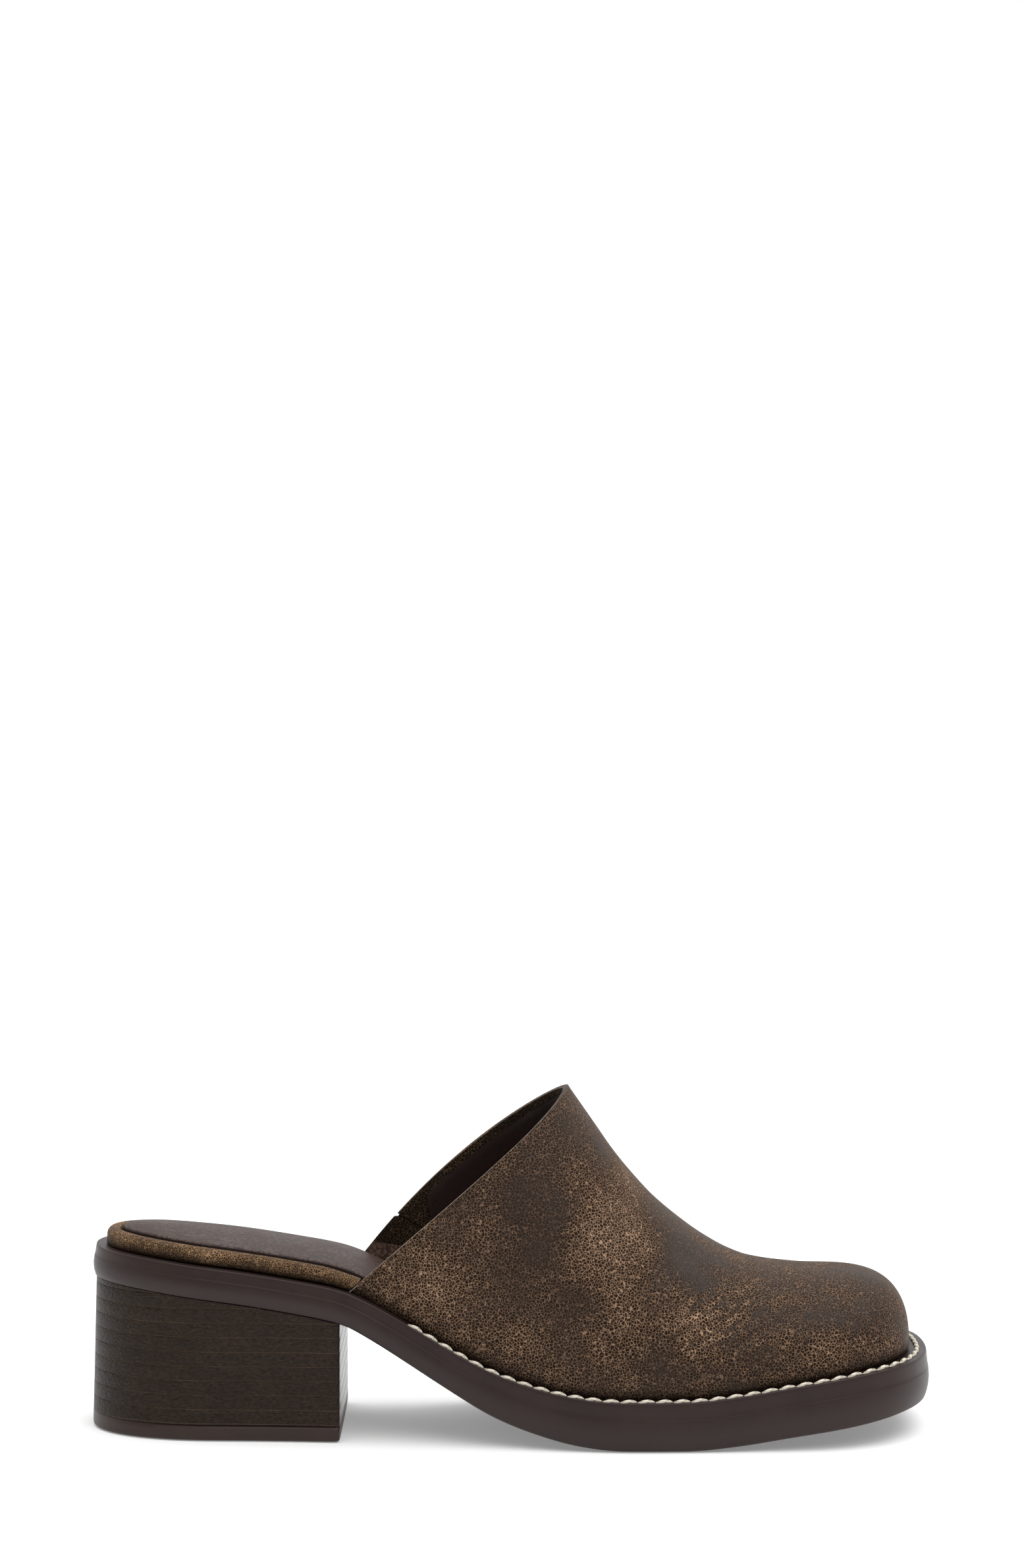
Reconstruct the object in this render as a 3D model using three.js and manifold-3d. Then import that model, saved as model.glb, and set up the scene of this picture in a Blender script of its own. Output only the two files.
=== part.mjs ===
// A backless clog with a stacked block heel and a soft square toe: the right shoe, in millimetres.
// X runs from heel to toe, Y towards the medial side and Z up, with the floor at Z = 0.
// Every piece is worked out from the driving sizes and the short tables below them.
import * as THREE from 'three';
import { mergeVertices } from 'three/addons/utils/BufferGeometryUtils.js';
import Module from 'manifold-3d';

const wasm = await Module();
wasm.setup();

// Driving sizes of the sole unit
const shoeLength = 257.8; // outsole, from the bulge at the heel to the toe
const ballWidth = 93.4; // outsole across the ball of the foot
const heelWidth = 59.6; // outsole across the heel seat
const seatHeight = 46.6; // floor to the underside of the outsole at the back
const toeSpring = 10.2; // floor to the underside of the outsole at the toe
const forefootThickness = 14.6; // outsole under the ball
const edgeRelief = 0.8; // how far the outsole's top edge stands back from its widest line
const soleStep = 0.35; // the small step round the outsole's side, below the welt
const soleCorner = { heel: 1.0, side: 1.8, toe: 4.5 }; // how far the underside's edge stands back
const heelRounding = 42; // length over which the heel end rounds off
const toeRounding = 43; // length over which the toe end rounds off
const heelSquareness = 2.2; // 2 is an ellipse, more is squarer
const toeSquareness = { lateral: 2.45, medial: 2.75 };
const tipOffset = 1.0; // the toe's furthest point, towards the medial side

// Driving sizes of the heel
const heelBreast = 77.4; // from the back of the outsole to the front face of the heel
const topPieceThickness = 4.9;
const heelFlare = 1.3; // how much the block widens from the seat to the floor
const blockInset = 1.0; // the block's top edge, in from the outsole's widest line
const breastCorner = 1.6; // rounding of the heel's two front corners
const treadRounding = 1.1; // rounding of the top piece's lower edge

// Driving sizes of the upper
const instepHeight = 103.2; // floor to the peak of the topline
const toeBoxHeight = 47.4; // floor to the top of the toe box
const toplineStart = 80.2; // from the back of the outsole to the foot of the topline
const toplineAngle = 41.5; // slope of the topline, in degrees
const medialBow = 6.0; // how far the medial topline rises above the straight line
const wall = 2.0; // leather and lining together
const weltLedge = { side: 4.4, toe: 6.4 }; // sole that stands out round the upper, to the widest line
const toeDome = 27; // length over which the toe box turns down
const domeSquareness = 3.1; // of the toe box, seen from the side

// Driving sizes of the footbed, whose rim is wrapped in leather
const footbedThickness = 5.0;
const footbedInset = 4.2; // the rim's side, in from the outsole's widest line
const rimWidth = 4.3; // the rim's top, from its side to the groove
const rimRounding = 2.2;
const lipRounding = 0.5; // the rim's small inner edge
const grooveWidth = 0.9; // the open line between the rim and the sock
const sockThickness = 1.8;
const sockDrop = 0.4; // how far the sock's edge lies below the rim
const sockCrown = 1.0; // how far the padded middle of the sock rises
const sockRounding = 0.9;

// Driving sizes of the gusset, a leather wedge let into the medial side of the upper
const gussetUp = 9.9; // along the topline, from its foot to the gusset
const gussetWidth = 11.3; // along the topline
const gussetDepth = 19; // from the topline's straight line to the wedge's end
const gussetLean = 10.3; // how far the wedge's end lies up the topline from its middle
const gussetTip = 1.3; // radius of the wedge's end
const gussetNotch = 1.8; // the small notch in the topline at the gusset's upper seam
const gussetThickness = 1.3;
const gussetSink = 0.4; // the gusset lies this far below the upper's outer face

const gap = 0.3; // clearance between pieces that touch

// Half widths of the outsole at shares of its length: 0 is half the heel width, 1 half the ball width
const planRows = [
  { at: 0.0, lateral: 0, medial: 0 },
  { at: 0.16, lateral: 0, medial: 0 },
  { at: 0.24, lateral: 0.05, medial: -0.03 },
  { at: 0.34, lateral: 0.2, medial: -0.07 },
  { at: 0.42, lateral: 0.42, medial: 0.02 },
  { at: 0.5, lateral: 0.68, medial: 0.36 },
  { at: 0.58, lateral: 0.92, medial: 0.74 },
  { at: 0.65, lateral: 1.0, medial: 0.96 },
  { at: 0.72, lateral: 0.97, medial: 1.04 },
  { at: 0.84, lateral: 0.86, medial: 0.98 },
  { at: 1.0, lateral: 0.74, medial: 0.9 },
];

// The underside: shares of the seat height behind the ball and of the toe spring ahead of it,
// and the outsole's thickness as a share of the forefoot thickness
const soleRows = [
  { at: 0.0, seat: 1.0, spring: 0, thick: 0.64 },
  { at: 0.06, seat: 0.97, spring: 0, thick: 0.65 },
  { at: 0.13, seat: 0.92, spring: 0, thick: 0.66 },
  { at: 0.18, seat: 0.884, spring: 0, thick: 0.665 },
  { at: 0.24, seat: 0.832, spring: 0, thick: 0.67 },
  { at: 0.3, seat: 0.765, spring: 0, thick: 0.69 },
  { at: 0.34, seat: 0.65, spring: 0, thick: 0.76 },
  { at: 0.38, seat: 0.515, spring: 0, thick: 0.81 },
  { at: 0.43, seat: 0.345, spring: 0, thick: 0.85 },
  { at: 0.48, seat: 0.19, spring: 0, thick: 0.91 },
  { at: 0.53, seat: 0.09, spring: 0, thick: 0.95 },
  { at: 0.58, seat: 0.025, spring: 0, thick: 0.985 },
  { at: 0.625, seat: 0, spring: 0, thick: 1.0 },
  { at: 0.705, seat: 0, spring: 0, thick: 1.01 },
  { at: 0.76, seat: 0, spring: 0.12, thick: 1.02 },
  { at: 0.83, seat: 0, spring: 0.39, thick: 1.03 },
  { at: 0.91, seat: 0, spring: 0.67, thick: 1.04 },
  { at: 1.0, seat: 0, spring: 1.0, thick: 0.95 },
];

// The outsole's side, from its top edge down: shares of its thickness, and of the sizes by which it
// stands in from its widest line
const soleSideRows = [
  { down: 0.0, relief: 1.8, step: 0, corner: 0 },
  { down: 0.05, relief: 1, step: 0, corner: 0 },
  { down: 0.34, relief: 0.5, step: 1, corner: 0 },
  { down: 0.36, relief: 0.5, step: 0, corner: 0 },
  { down: 0.6, relief: 0, step: 0, corner: 0 },
  { down: 0.84, relief: 0, step: 0, corner: 0.12 },
  { down: 0.96, relief: 0, step: 0, corner: 0.5 },
  { down: 1.0, relief: 0, step: 0, corner: 1 },
];

// The last over the foot. rise is the ridge, as a share of the way from the toe box to the instep;
// over 1 it is the leg of the last, above the topline. shift is the ridge's way towards the medial
// side, as a share of the ball width, and round the squareness of the section, where 2 is an ellipse.
const lastRows = [
  { at: 0.28, rise: 2.9, shift: 0.0, round: 2.3 },
  { at: 0.4, rise: 2.25, shift: 0.012, round: 2.2 },
  { at: 0.5, rise: 1.5, shift: 0.03, round: 2.05 },
  { at: 0.565, rise: 1.03, shift: 0.036, round: 2.0 },
  { at: 0.6, rise: 0.794, shift: 0.042, round: 2.03 },
  { at: 0.623, rise: 0.64, shift: 0.047, round: 2.07 },
  { at: 0.646, rise: 0.509, shift: 0.05, round: 2.1 },
  { at: 0.67, rise: 0.389, shift: 0.05, round: 2.15 },
  { at: 0.7, rise: 0.27, shift: 0.05, round: 2.2 },
  { at: 0.73, rise: 0.169, shift: 0.05, round: 2.25 },
  { at: 0.76, rise: 0.09, shift: 0.048, round: 2.3 },
  { at: 0.785, rise: 0.046, shift: 0.046, round: 2.35 },
  { at: 0.82, rise: 0.018, shift: 0.042, round: 2.4 },
  { at: 0.86, rise: 0.003, shift: 0.038, round: 2.45 },
  { at: 1.0, rise: 0, shift: 0.032, round: 2.5 },
];

const endSections = 10; // along each rounded end of the plan
const bodySections = 32; // between the rounded ends
const upperRows = 30; // from the topline to the toe
const upperColumns = 32; // from one feather line over the foot to the other
const { clamp, degToRad, lerp, smoothstep } = THREE.MathUtils;
const sides = ['lateral', 'medial'];

// A table column at a share, by a smooth curve through the rows that never overshoots them
function column(rows, name, share) {
  const last = rows.length - 1;
  const at = clamp(share, rows[0].at, rows[last].at);
  let i = 0;
  while (i < last - 1 && at > rows[i + 1].at) i += 1;
  const slope = (k) => (rows[k + 1][name] - rows[k][name]) / (rows[k + 1].at - rows[k].at);
  const tangent = (k) => {
    if (k === 0) return slope(0);
    if (k === last) return slope(last - 1);
    const before = slope(k - 1);
    const after = slope(k);
    return before * after <= 0 ? 0 : (2 * before * after) / (before + after);
  };
  const width = rows[i + 1].at - rows[i].at;
  const t = (at - rows[i].at) / width;
  const ease = t * t * (3 - 2 * t);
  const bend = t * (1 - t) * ((1 - t) * tangent(i) - t * tangent(i + 1));
  return lerp(rows[i][name], rows[i + 1][name], ease) + width * bend;
}

// 1 along a body, falling to 0 at its end as a rounded corner; t is 0 where the rounding starts
function rounded(t, squareness) {
  return (1 - clamp(t, 0, 1) ** squareness) ** (1 / squareness);
}

// X where a falling function of X passes zero, between two values
function crossing(from, to, falling) {
  let low = from;
  let high = to;
  for (let i = 0; i < 40; i += 1) {
    const middle = (low + high) / 2;
    if (falling(middle) > 0) low = middle;
    else high = middle;
  }
  return (low + high) / 2;
}

// Heights of the outsole's two faces along the shoe
function underside(x) {
  const share = x / shoeLength;
  return seatHeight * column(soleRows, 'seat', share) + toeSpring * column(soleRows, 'spring', share);
}

function soleTop(x) {
  return underside(x) + forefootThickness * column(soleRows, 'thick', x / shoeLength);
}

// The plan of the shoe, set in at its heel, sides and toe: Y of one side at X
function outline(side, x, inset) {
  const toeEnd = shoeLength - inset.toe;
  const along = shoeLength * ((x - inset.heel) / (toeEnd - inset.heel));
  const seat = heelWidth / 2;
  const body = lerp(seat, ballWidth / 2, column(planRows, side, x / shoeLength)) - inset.side;
  const heel = rounded(1 - along / heelRounding, heelSquareness);
  const toeShare = (along - (shoeLength - toeRounding)) / toeRounding;
  const toe = rounded(toeShare, toeSquareness[side]);
  const centre = tipOffset * smoothstep(toeShare, -1, 1);
  const away = (side === 'lateral' ? -body : body) * heel;
  return lerp(centre, away, toe);
}

const evenInset = (distance) => ({ heel: distance, side: distance, toe: distance });

// X of the sections. All pieces share the ones along the body, so that they meet evenly, and each has
// its own at its rounded ends, where they lie closer and closer together.
const bodyXs = Array.from({ length: bodySections + 1 }, (_, k) => {
  return lerp(heelRounding, shoeLength - toeRounding, k / bodySections);
});
function heelXs(from) {
  return Array.from({ length: endSections }, (_, k) => {
    return lerp(from, bodyXs[0], 1 - Math.cos((Math.PI / 2) * (k / endSections)));
  });
}
function toeXs(to) {
  return Array.from({ length: endSections }, (_, k) => {
    return lerp(bodyXs.at(-1), to, Math.sin((Math.PI / 2) * ((k + 1) / endSections)));
  });
}

// The straight line between two points, with its inner points raised to a height at X
const levelPoint = (heightAt) => (from, to, share) => {
  const x = lerp(from[0], to[0], share);
  return [x, lerp(from[1], to[1], share), heightAt(x)];
};

// A loop of points from the two sides' points: out on the lateral side and back on the medial side.
// The sides meet at the front in one point, or are joined by a number of straight spaces.
function loop(sidePoints, frontSpaces) {
  const [lateral, medial] = sides.map(sidePoints);
  const back = medial.slice(1).reverse();
  if (!frontSpaces) return [...lateral, ...back.slice(1)];
  const front = Array.from({ length: frontSpaces - 1 }, (_, k) => {
    return lateral.at(-1).map((value, axis) => lerp(value, back[0][axis], (k + 1) / frontSpaces));
  });
  return [...lateral, ...front, ...back];
}

// The faces between two rows of points
function strip(lower, upper, closed) {
  const faces = [];
  for (let i = 0; i < lower.length - (closed ? 0 : 1); i += 1) {
    const j = (i + 1) % lower.length;
    faces.push([lower[i], lower[j], upper[j]], [lower[i], upper[j], upper[i]]);
  }
  return faces;
}

// The faces inside a loop: rows from the lateral to the medial side, with inner points from innerPoint
function cap(ring, frontSpaces, across, innerPoint) {
  const count = ring.length;
  const last = (count - frontSpaces) / 2;
  const rows = Array.from({ length: last + 1 }, (_, k) => {
    if (frontSpaces && k === last) return ring.slice(last, last + frontSpaces + 1);
    const from = ring[k];
    const to = ring[(count - k) % count];
    const inner = Array.from({ length: across - 1 }, (__, j) => innerPoint(from, to, (j + 1) / across));
    return [from, ...inner, to];
  });
  return rows.slice(1).flatMap((row, k) => strip(rows[k], row, false));
}

// A closed mesh from triangles in any order: points that coincide are merged, neighbours are turned
// to agree, and the faces point out
function closedMesh(triangles) {
  const flat = new THREE.BufferGeometry();
  flat.setAttribute('position', new THREE.Float32BufferAttribute(triangles.flat(2), 3));
  const geometry = mergeVertices(flat, 1e-3);
  const faces = [];
  for (let i = 0; i < geometry.index.count; i += 3) {
    const face = [0, 1, 2].map((k) => geometry.index.getX(i + k));
    if (new Set(face).size === 3) faces.push(face);
  }
  turnToAgree(faces);
  if (volumeOf(geometry.attributes.position, faces) < 0) faces.forEach((face) => face.reverse());
  geometry.setIndex(faces.flat());
  return geometry;
}

const edgesOf = ([a, b, c]) => [[a, b], [b, c], [c, a]];

function turnToAgree(faces) {
  const key = (a, b) => (a < b ? `${a}_${b}` : `${b}_${a}`);
  const byEdge = new Map();
  faces.forEach((face) => {
    edgesOf(face).forEach(([a, b]) => byEdge.set(key(a, b), [...(byEdge.get(key(a, b)) ?? []), face]));
  });
  const seen = new Set([faces[0]]);
  const queue = [faces[0]];
  while (queue.length) {
    edgesOf(queue.pop()).forEach(([a, b]) => {
      byEdge.get(key(a, b)).filter((face) => !seen.has(face)).forEach((face) => {
        if (edgesOf(face).some(([from, to]) => from === a && to === b)) face.reverse();
        seen.add(face);
        queue.push(face);
      });
    });
  }
}

function volumeOf(position, faces) {
  const point = (i) => new THREE.Vector3().fromBufferAttribute(position, i);
  return faces.reduce((sum, [a, b, c]) => sum + point(a).dot(point(b).cross(point(c))) / 6, 0);
}

// A slab from rings of points, listed from the top down
function slab(rings, frontSpaces, across, topPoint, bottomPoint) {
  const walls = rings.slice(1).flatMap((ring, k) => strip(rings[k], ring, true));
  const top = cap(rings[0], frontSpaces, across, topPoint);
  const bottom = cap(rings.at(-1), frontSpaces, 2, bottomPoint);
  return closedMesh([...walls, ...top, ...bottom]);
}

// Joining and cutting of closed meshes
function solid(geometry) {
  return new wasm.Manifold(
    new wasm.Mesh({
      numProp: 3,
      vertProperties: new Float32Array(geometry.attributes.position.array),
      triVerts: new Uint32Array(geometry.index.array),
    }),
  );
}

function geometryOf(manifold) {
  const mesh = manifold.getMesh();
  const geometry = new THREE.BufferGeometry();
  geometry.setAttribute('position', new THREE.Float32BufferAttribute(mesh.vertProperties, 3));
  geometry.setIndex(Array.from(mesh.triVerts));
  return geometry;
}

// A prism from an outline in the XZ plane, over the medial side
function medialPrism(points) {
  const shape = new THREE.Shape(points.map(([x, z]) => new THREE.Vector2(x, z)));
  const geometry = new THREE.ExtrudeGeometry(shape, { depth: ballWidth, bevelEnabled: false });
  geometry.deleteAttribute('normal');
  geometry.deleteAttribute('uv');
  geometry.rotateX(Math.PI / 2).translate(0, ballWidth, 0);
  return solid(mergeVertices(geometry));
}

// Outsole: one moulding from heel to toe, flat under the ball, with a small step round its side
function outsole() {
  const rings = soleSideRows.map(({ down, relief, step, corner }) => {
    const part = (end) => edgeRelief * relief + soleStep * step + soleCorner[end] * corner;
    const plan = { heel: part('heel'), side: part('side'), toe: part('toe') };
    const xs = [...heelXs(plan.heel), ...bodyXs, ...toeXs(shoeLength - plan.toe)];
    const height = (x) => lerp(soleTop(x), underside(x), down);
    return loop((side) => xs.map((x) => [x, outline(side, x, plan), height(x)]), 0);
  });
  return slab(rings, 0, 2, levelPoint(soleTop), levelPoint(underside));
}

// One ring of the heel's plan, set in evenly, at a height that may change along X. The block is
// narrowest at the seat and flares to the floor, and its two front corners are rounded.
const breastColumns = 2;
function heelRing(setIn, height) {
  const flare = heelFlare * (1 - height(heelBreast) / underside(heelBreast));
  const inset = blockInset - flare + setIn;
  const cornerStart = heelBreast - setIn - breastCorner;
  const beforeBreast = bodyXs.filter((x) => x < heelBreast - 2 * (breastCorner + treadRounding));
  const corner = [0, 30, 60, 90].map((angle) => cornerStart + breastCorner * Math.sin(degToRad(angle)));
  const cut = (x) => breastCorner - Math.sqrt(breastCorner ** 2 - Math.max(0, x - cornerStart) ** 2);
  return loop((side) => {
    return [...heelXs(inset), ...beforeBreast, ...corner].map((x) => {
      const y = outline(side, x, evenInset(inset));
      return [x, y - Math.sign(y) * cut(x), height(x)];
    });
  }, breastColumns);
}

// Heel block: the stack of leather lifts under the seat
function heelBlock() {
  const top = (x) => underside(x) - gap;
  const foot = () => topPieceThickness + gap;
  const rings = [heelRing(0, top), heelRing(0, foot)];
  return slab(rings, breastColumns, breastColumns, levelPoint(top), levelPoint(foot));
}

// Top piece: the rubber that stands on the floor, with its lower edge rounded
function heelTopPiece() {
  const top = () => topPieceThickness;
  const rounding = [0, 30, 60, 90].map((angle) => {
    const turn = degToRad(angle);
    const height = treadRounding * (1 - Math.sin(turn));
    return heelRing(treadRounding * (1 - Math.cos(turn)), () => height);
  });
  const rings = [heelRing(0, top), ...rounding];
  return slab(rings, breastColumns, breastColumns, levelPoint(top), levelPoint(() => 0));
}

// The topline, seen from the side: its height at X on one side of the shoe
const toplineFoot = soleTop(toplineStart) + gap;
const toplineSlope = Math.tan(degToRad(toplineAngle));
const toplineLength = (instepHeight - toplineFoot) / toplineSlope;
function toplineHeight(x, side) {
  const t = clamp((x - toplineStart) / toplineLength, 0, 1);
  const bow = side === 'medial' ? medialBow * Math.sin(Math.PI * t ** 0.85) : 0;
  return toplineFoot + (x - toplineStart) * toplineSlope + bow;
}

// Heights above the outsole, and insets, of the footbed and the sock
const rimTop = gap + footbedThickness;
const recessFloor = rimTop - sockDrop - sockThickness - gap;
const underUpper = {
  heel: footbedInset,
  side: weltLedge.side + wall + 2 * gap,
  toe: weltLedge.toe + wall + 2 * gap,
};

// X of the seam between the footbed's rim and the upper, at a height above the outsole
function rimSeam(side, up) {
  const clearance = gap / Math.sin(degToRad(toplineAngle));
  const middleOfHeel = heelBreast / 2;
  return crossing(middleOfHeel, shoeLength, (x) => soleTop(x) + up - toplineHeight(x + clearance, side));
}

// Footbed: a board with a rounded, leather-wrapped rim and a recess for the sock. The rim ends at
// the seam on the topline, and ahead of it the board runs on inside the upper.
function footbed() {
  const groove = footbedInset + rimWidth;
  const rows = [
    { inset: groove, up: recessFloor },
    { inset: groove, up: rimTop - lipRounding },
    { inset: groove - lipRounding, up: rimTop },
    ...[90, 60, 30, 0].map((angle) => ({
      inset: footbedInset + rimRounding * (1 - Math.cos(degToRad(angle))),
      up: rimTop - rimRounding * (1 - Math.sin(degToRad(angle))),
    })),
    { inset: footbedInset, up: gap },
  ];
  const behindSeam = bodyXs.filter((x) => x < toplineStart - footbedThickness);
  const aheadOfSeam = bodyXs.filter((x) => x > toplineStart + footbedThickness);
  const rings = rows.map(({ inset, up }) => {
    const boardUp = Math.min(up, recessFloor);
    return loop((side) => {
      const behind = [...heelXs(inset), ...behindSeam, rimSeam(side, up)];
      const ahead = [rimSeam(side, boardUp), ...aheadOfSeam, ...toeXs(shoeLength - underUpper.toe)];
      return [
        ...behind.map((x) => [x, outline(side, x, evenInset(inset)), soleTop(x) + up]),
        ...ahead.map((x) => [x, outline(side, x, underUpper), soleTop(x) + boardUp]),
      ];
    }, 0);
  });
  const floor = levelPoint((x) => soleTop(x) + recessFloor);
  return slab(rings, 0, 2, floor, levelPoint((x) => soleTop(x) + gap));
}

// Sock: the padded cover that the foot stands on, domed in its middle
function insoleSock() {
  const bottom = recessFloor + gap;
  const top = bottom + sockThickness;
  const edge = footbedInset + rimWidth + grooveWidth;
  const rows = [
    ...[90, 45, 0].map((angle) => ({
      inset: sockRounding * (1 - Math.cos(degToRad(angle))),
      up: top - sockRounding * (1 - Math.sin(degToRad(angle))),
    })),
    { inset: 0, up: bottom },
  ];
  const rings = rows.map(({ inset, up }) => {
    const plan = { heel: edge + inset, side: edge + inset, toe: underUpper.toe + gap + inset };
    const xs = [...heelXs(plan.heel), ...bodyXs, ...toeXs(shoeLength - plan.toe)];
    return loop((side) => xs.map((x) => [x, outline(side, x, plan), soleTop(x) + up]), 0);
  });
  const domed = (from, to, share) => {
    const x = lerp(from[0], to[0], share);
    const narrow = Math.min(1, (to[1] - from[1]) / (heelWidth / 2));
    const crown = sockCrown * Math.sin(Math.PI * share) * narrow;
    return [x, lerp(from[1], to[1], share), soleTop(x) + top + crown];
  };
  return slab(rings, 0, 6, domed, levelPoint((x) => soleTop(x) + bottom));
}

// The last's outer face: a point at X and at an angle, 0 at the lateral feather line and 180 at the
// medial one. The feather line is where the upper meets the outsole.
const featherLine = { heel: footbedInset, side: weltLedge.side, toe: weltLedge.toe };
const tip = shoeLength - weltLedge.toe;
function lastPoint(x, angle) {
  const share = x / shoeLength;
  const base = soleTop(x) + gap;
  const ridgeHeight = lerp(toeBoxHeight, instepHeight, column(lastRows, 'rise', share));
  const height = (ridgeHeight - base) * rounded(1 - (tip - x) / toeDome, domeSquareness);
  const [lateral, medial] = sides.map((side) => outline(side, x, featherLine));
  const ridge = clamp(ballWidth * column(lastRows, 'shift', share), lateral, medial);
  const power = 2 / column(lastRows, 'round', share);
  const turn = degToRad(angle);
  const away = Math.abs(Math.cos(turn)) ** power;
  const up = Math.abs(Math.sin(turn)) ** power;
  return new THREE.Vector3(x, lerp(ridge, angle < 90 ? lateral : medial, away), base + height * up);
}

// The last's outer face as rows of points from the topline to the toe, with their normals
function lastFace() {
  const angles = Array.from({ length: upperColumns + 1 }, (_, j) => (180 * j) / upperColumns);
  const starts = angles.map((angle) => {
    const side = angle < 90 ? 'lateral' : 'medial';
    return crossing(toplineStart / 2, tip, (x) => lastPoint(x, angle).z - toplineHeight(x, side));
  });
  const face = new THREE.PlaneGeometry(1, 1, upperColumns, upperRows);
  const place = face.attributes.position;
  for (let i = 0; i <= upperRows; i += 1) {
    const share = Math.sin((Math.PI / 2) * (i / upperRows));
    angles.forEach((angle, j) => {
      const point = lastPoint(lerp(starts[j], tip, share), angle);
      place.setXYZ(i * angles.length + j, point.x, point.y, point.z);
    });
  }
  face.computeVertexNormals();
  return Array.from({ length: upperRows + 1 }, (_, i) =>
    angles.map((__, j) => {
      const index = i * angles.length + j;
      const point = new THREE.Vector3().fromBufferAttribute(place, index);
      const normal = new THREE.Vector3().fromBufferAttribute(face.attributes.normal, index);
      const foot = j === 0 || j === upperColumns || i === upperRows;
      if (i === upperRows) normal.set(1, 0, 0);
      if (foot) normal.setZ(0).normalize();
      return { point, normal, foot };
    }),
  );
}

// A skin between two depths below the last's outer face, standing on the outsole
function skin(outerDepth, innerDepth) {
  const face = lastFace();
  const rowsAt = (depth) =>
    face.map((row) =>
      row.map(({ point, normal, foot }) => {
        const place = point.clone().addScaledVector(normal, -depth);
        if (foot) place.setZ(soleTop(place.x) + gap);
        return place.toArray();
      }),
    );
  const outer = rowsAt(outerDepth);
  const inner = rowsAt(innerDepth);
  const feather = (rows) => [...rows.map((row) => row[0]), ...rows.map((row) => row.at(-1)).reverse()];
  return closedMesh([
    ...outer.slice(1).flatMap((row, i) => strip(outer[i], row, false)),
    ...inner.slice(1).flatMap((row, i) => strip(inner[i], row, false)),
    ...strip(feather(outer), feather(inner), false),
    ...strip(outer[0], inner[0], false),
  ]);
}

// The gusset's outline, seen from the side, grown by a margin: a wedge that leans up the side and is
// open to the topline, with its upper corner cut back by a notch
function gussetOutline(margin, notch) {
  const slope = degToRad(toplineAngle);
  const place = (along, into) => [
    toplineStart + along * Math.cos(slope) + into * Math.sin(slope),
    toplineFoot + along * Math.sin(slope) - into * Math.cos(slope),
  ];
  const tipAlong = gussetUp + gussetWidth / 2 + gussetLean;
  const tipRadius = gussetTip + margin;
  const tipInto = gussetDepth - gussetTip;
  const low = (into) => place(lerp(gussetUp - margin, tipAlong - tipRadius, into / tipInto), into);
  const high = (into, back) => {
    return place(lerp(gussetUp + gussetWidth + margin, tipAlong + tipRadius, into / tipInto) - back, into);
  };
  const toplineInto = -medialBow / 2;
  const round = [30, 60, 90, 120, 150].map((angle) => {
    const turn = degToRad(angle);
    return place(tipAlong + tipRadius * Math.cos(turn), tipInto + tipRadius * Math.sin(turn));
  });
  return [
    low(4 * toplineInto),
    high(4 * toplineInto, notch),
    high(toplineInto, notch),
    high(toplineInto + notch, 0),
    high(tipInto, 0),
    ...round,
    low(tipInto),
  ];
}

// Upper: one hollow vamp, open at the topline and underneath, with the slot for the gusset
function upper() {
  return geometryOf(solid(skin(0, wall)).subtract(medialPrism(gussetOutline(0, 0))));
}

// Gusset: the leather wedge in the upper's slot
function sideGusset() {
  const panel = solid(skin(gussetSink, gussetSink + gussetThickness));
  return geometryOf(panel.intersect(medialPrism(gussetOutline(-gap, gussetNotch))));
}

const finish = (color, roughness) => new THREE.MeshStandardMaterial({ color, roughness, metalness: 0 });
const pieces = [
  { name: 'outsole', geometry: outsole(), material: finish('#3f3634', 0.5) },
  { name: 'heel_block', geometry: heelBlock(), material: finish('#2f2822', 0.6) },
  { name: 'heel_top_piece', geometry: heelTopPiece(), material: finish('#3c3230', 0.55) },
  { name: 'footbed', geometry: footbed(), material: finish('#5a452f', 0.5) },
  { name: 'insole_sock', geometry: insoleSock(), material: finish('#5b4c49', 0.6) },
  { name: 'upper', geometry: upper(), material: finish('#4a3a2b', 0.5) },
  { name: 'side_gusset', geometry: sideGusset(), material: finish('#4a3a2b', 0.5) },
];

const shoe = new THREE.Group();
pieces.forEach(({ name, geometry, material }) => {
  const mesh = new THREE.Mesh(geometry, material);
  mesh.name = name;
  shoe.add(mesh);
});

// The origin lies on the floor, in the middle of the shoe's plan
const centre = new THREE.Box3().setFromObject(shoe).getCenter(new THREE.Vector3());
shoe.position.set(-centre.x, -centre.y, 0);
const clog = new THREE.Group();
clog.add(shoe);
export default clog;
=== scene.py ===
"""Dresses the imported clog: leather, rubber, thread and light, set on the part's own frame.

Sizes in the classes are in millimetres from the back of the outsole (X), the middle of the heel (Y,
medial side positive) and the floor (Z). Meshes are placed in the frame's metres at the very end.
"""

import logging
import math
from dataclasses import dataclass, field
from enum import Enum
from typing import Any, Callable, Iterable, Sequence

import bmesh
import bpy
import numpy as np
from mathutils import Matrix, Vector

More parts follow.
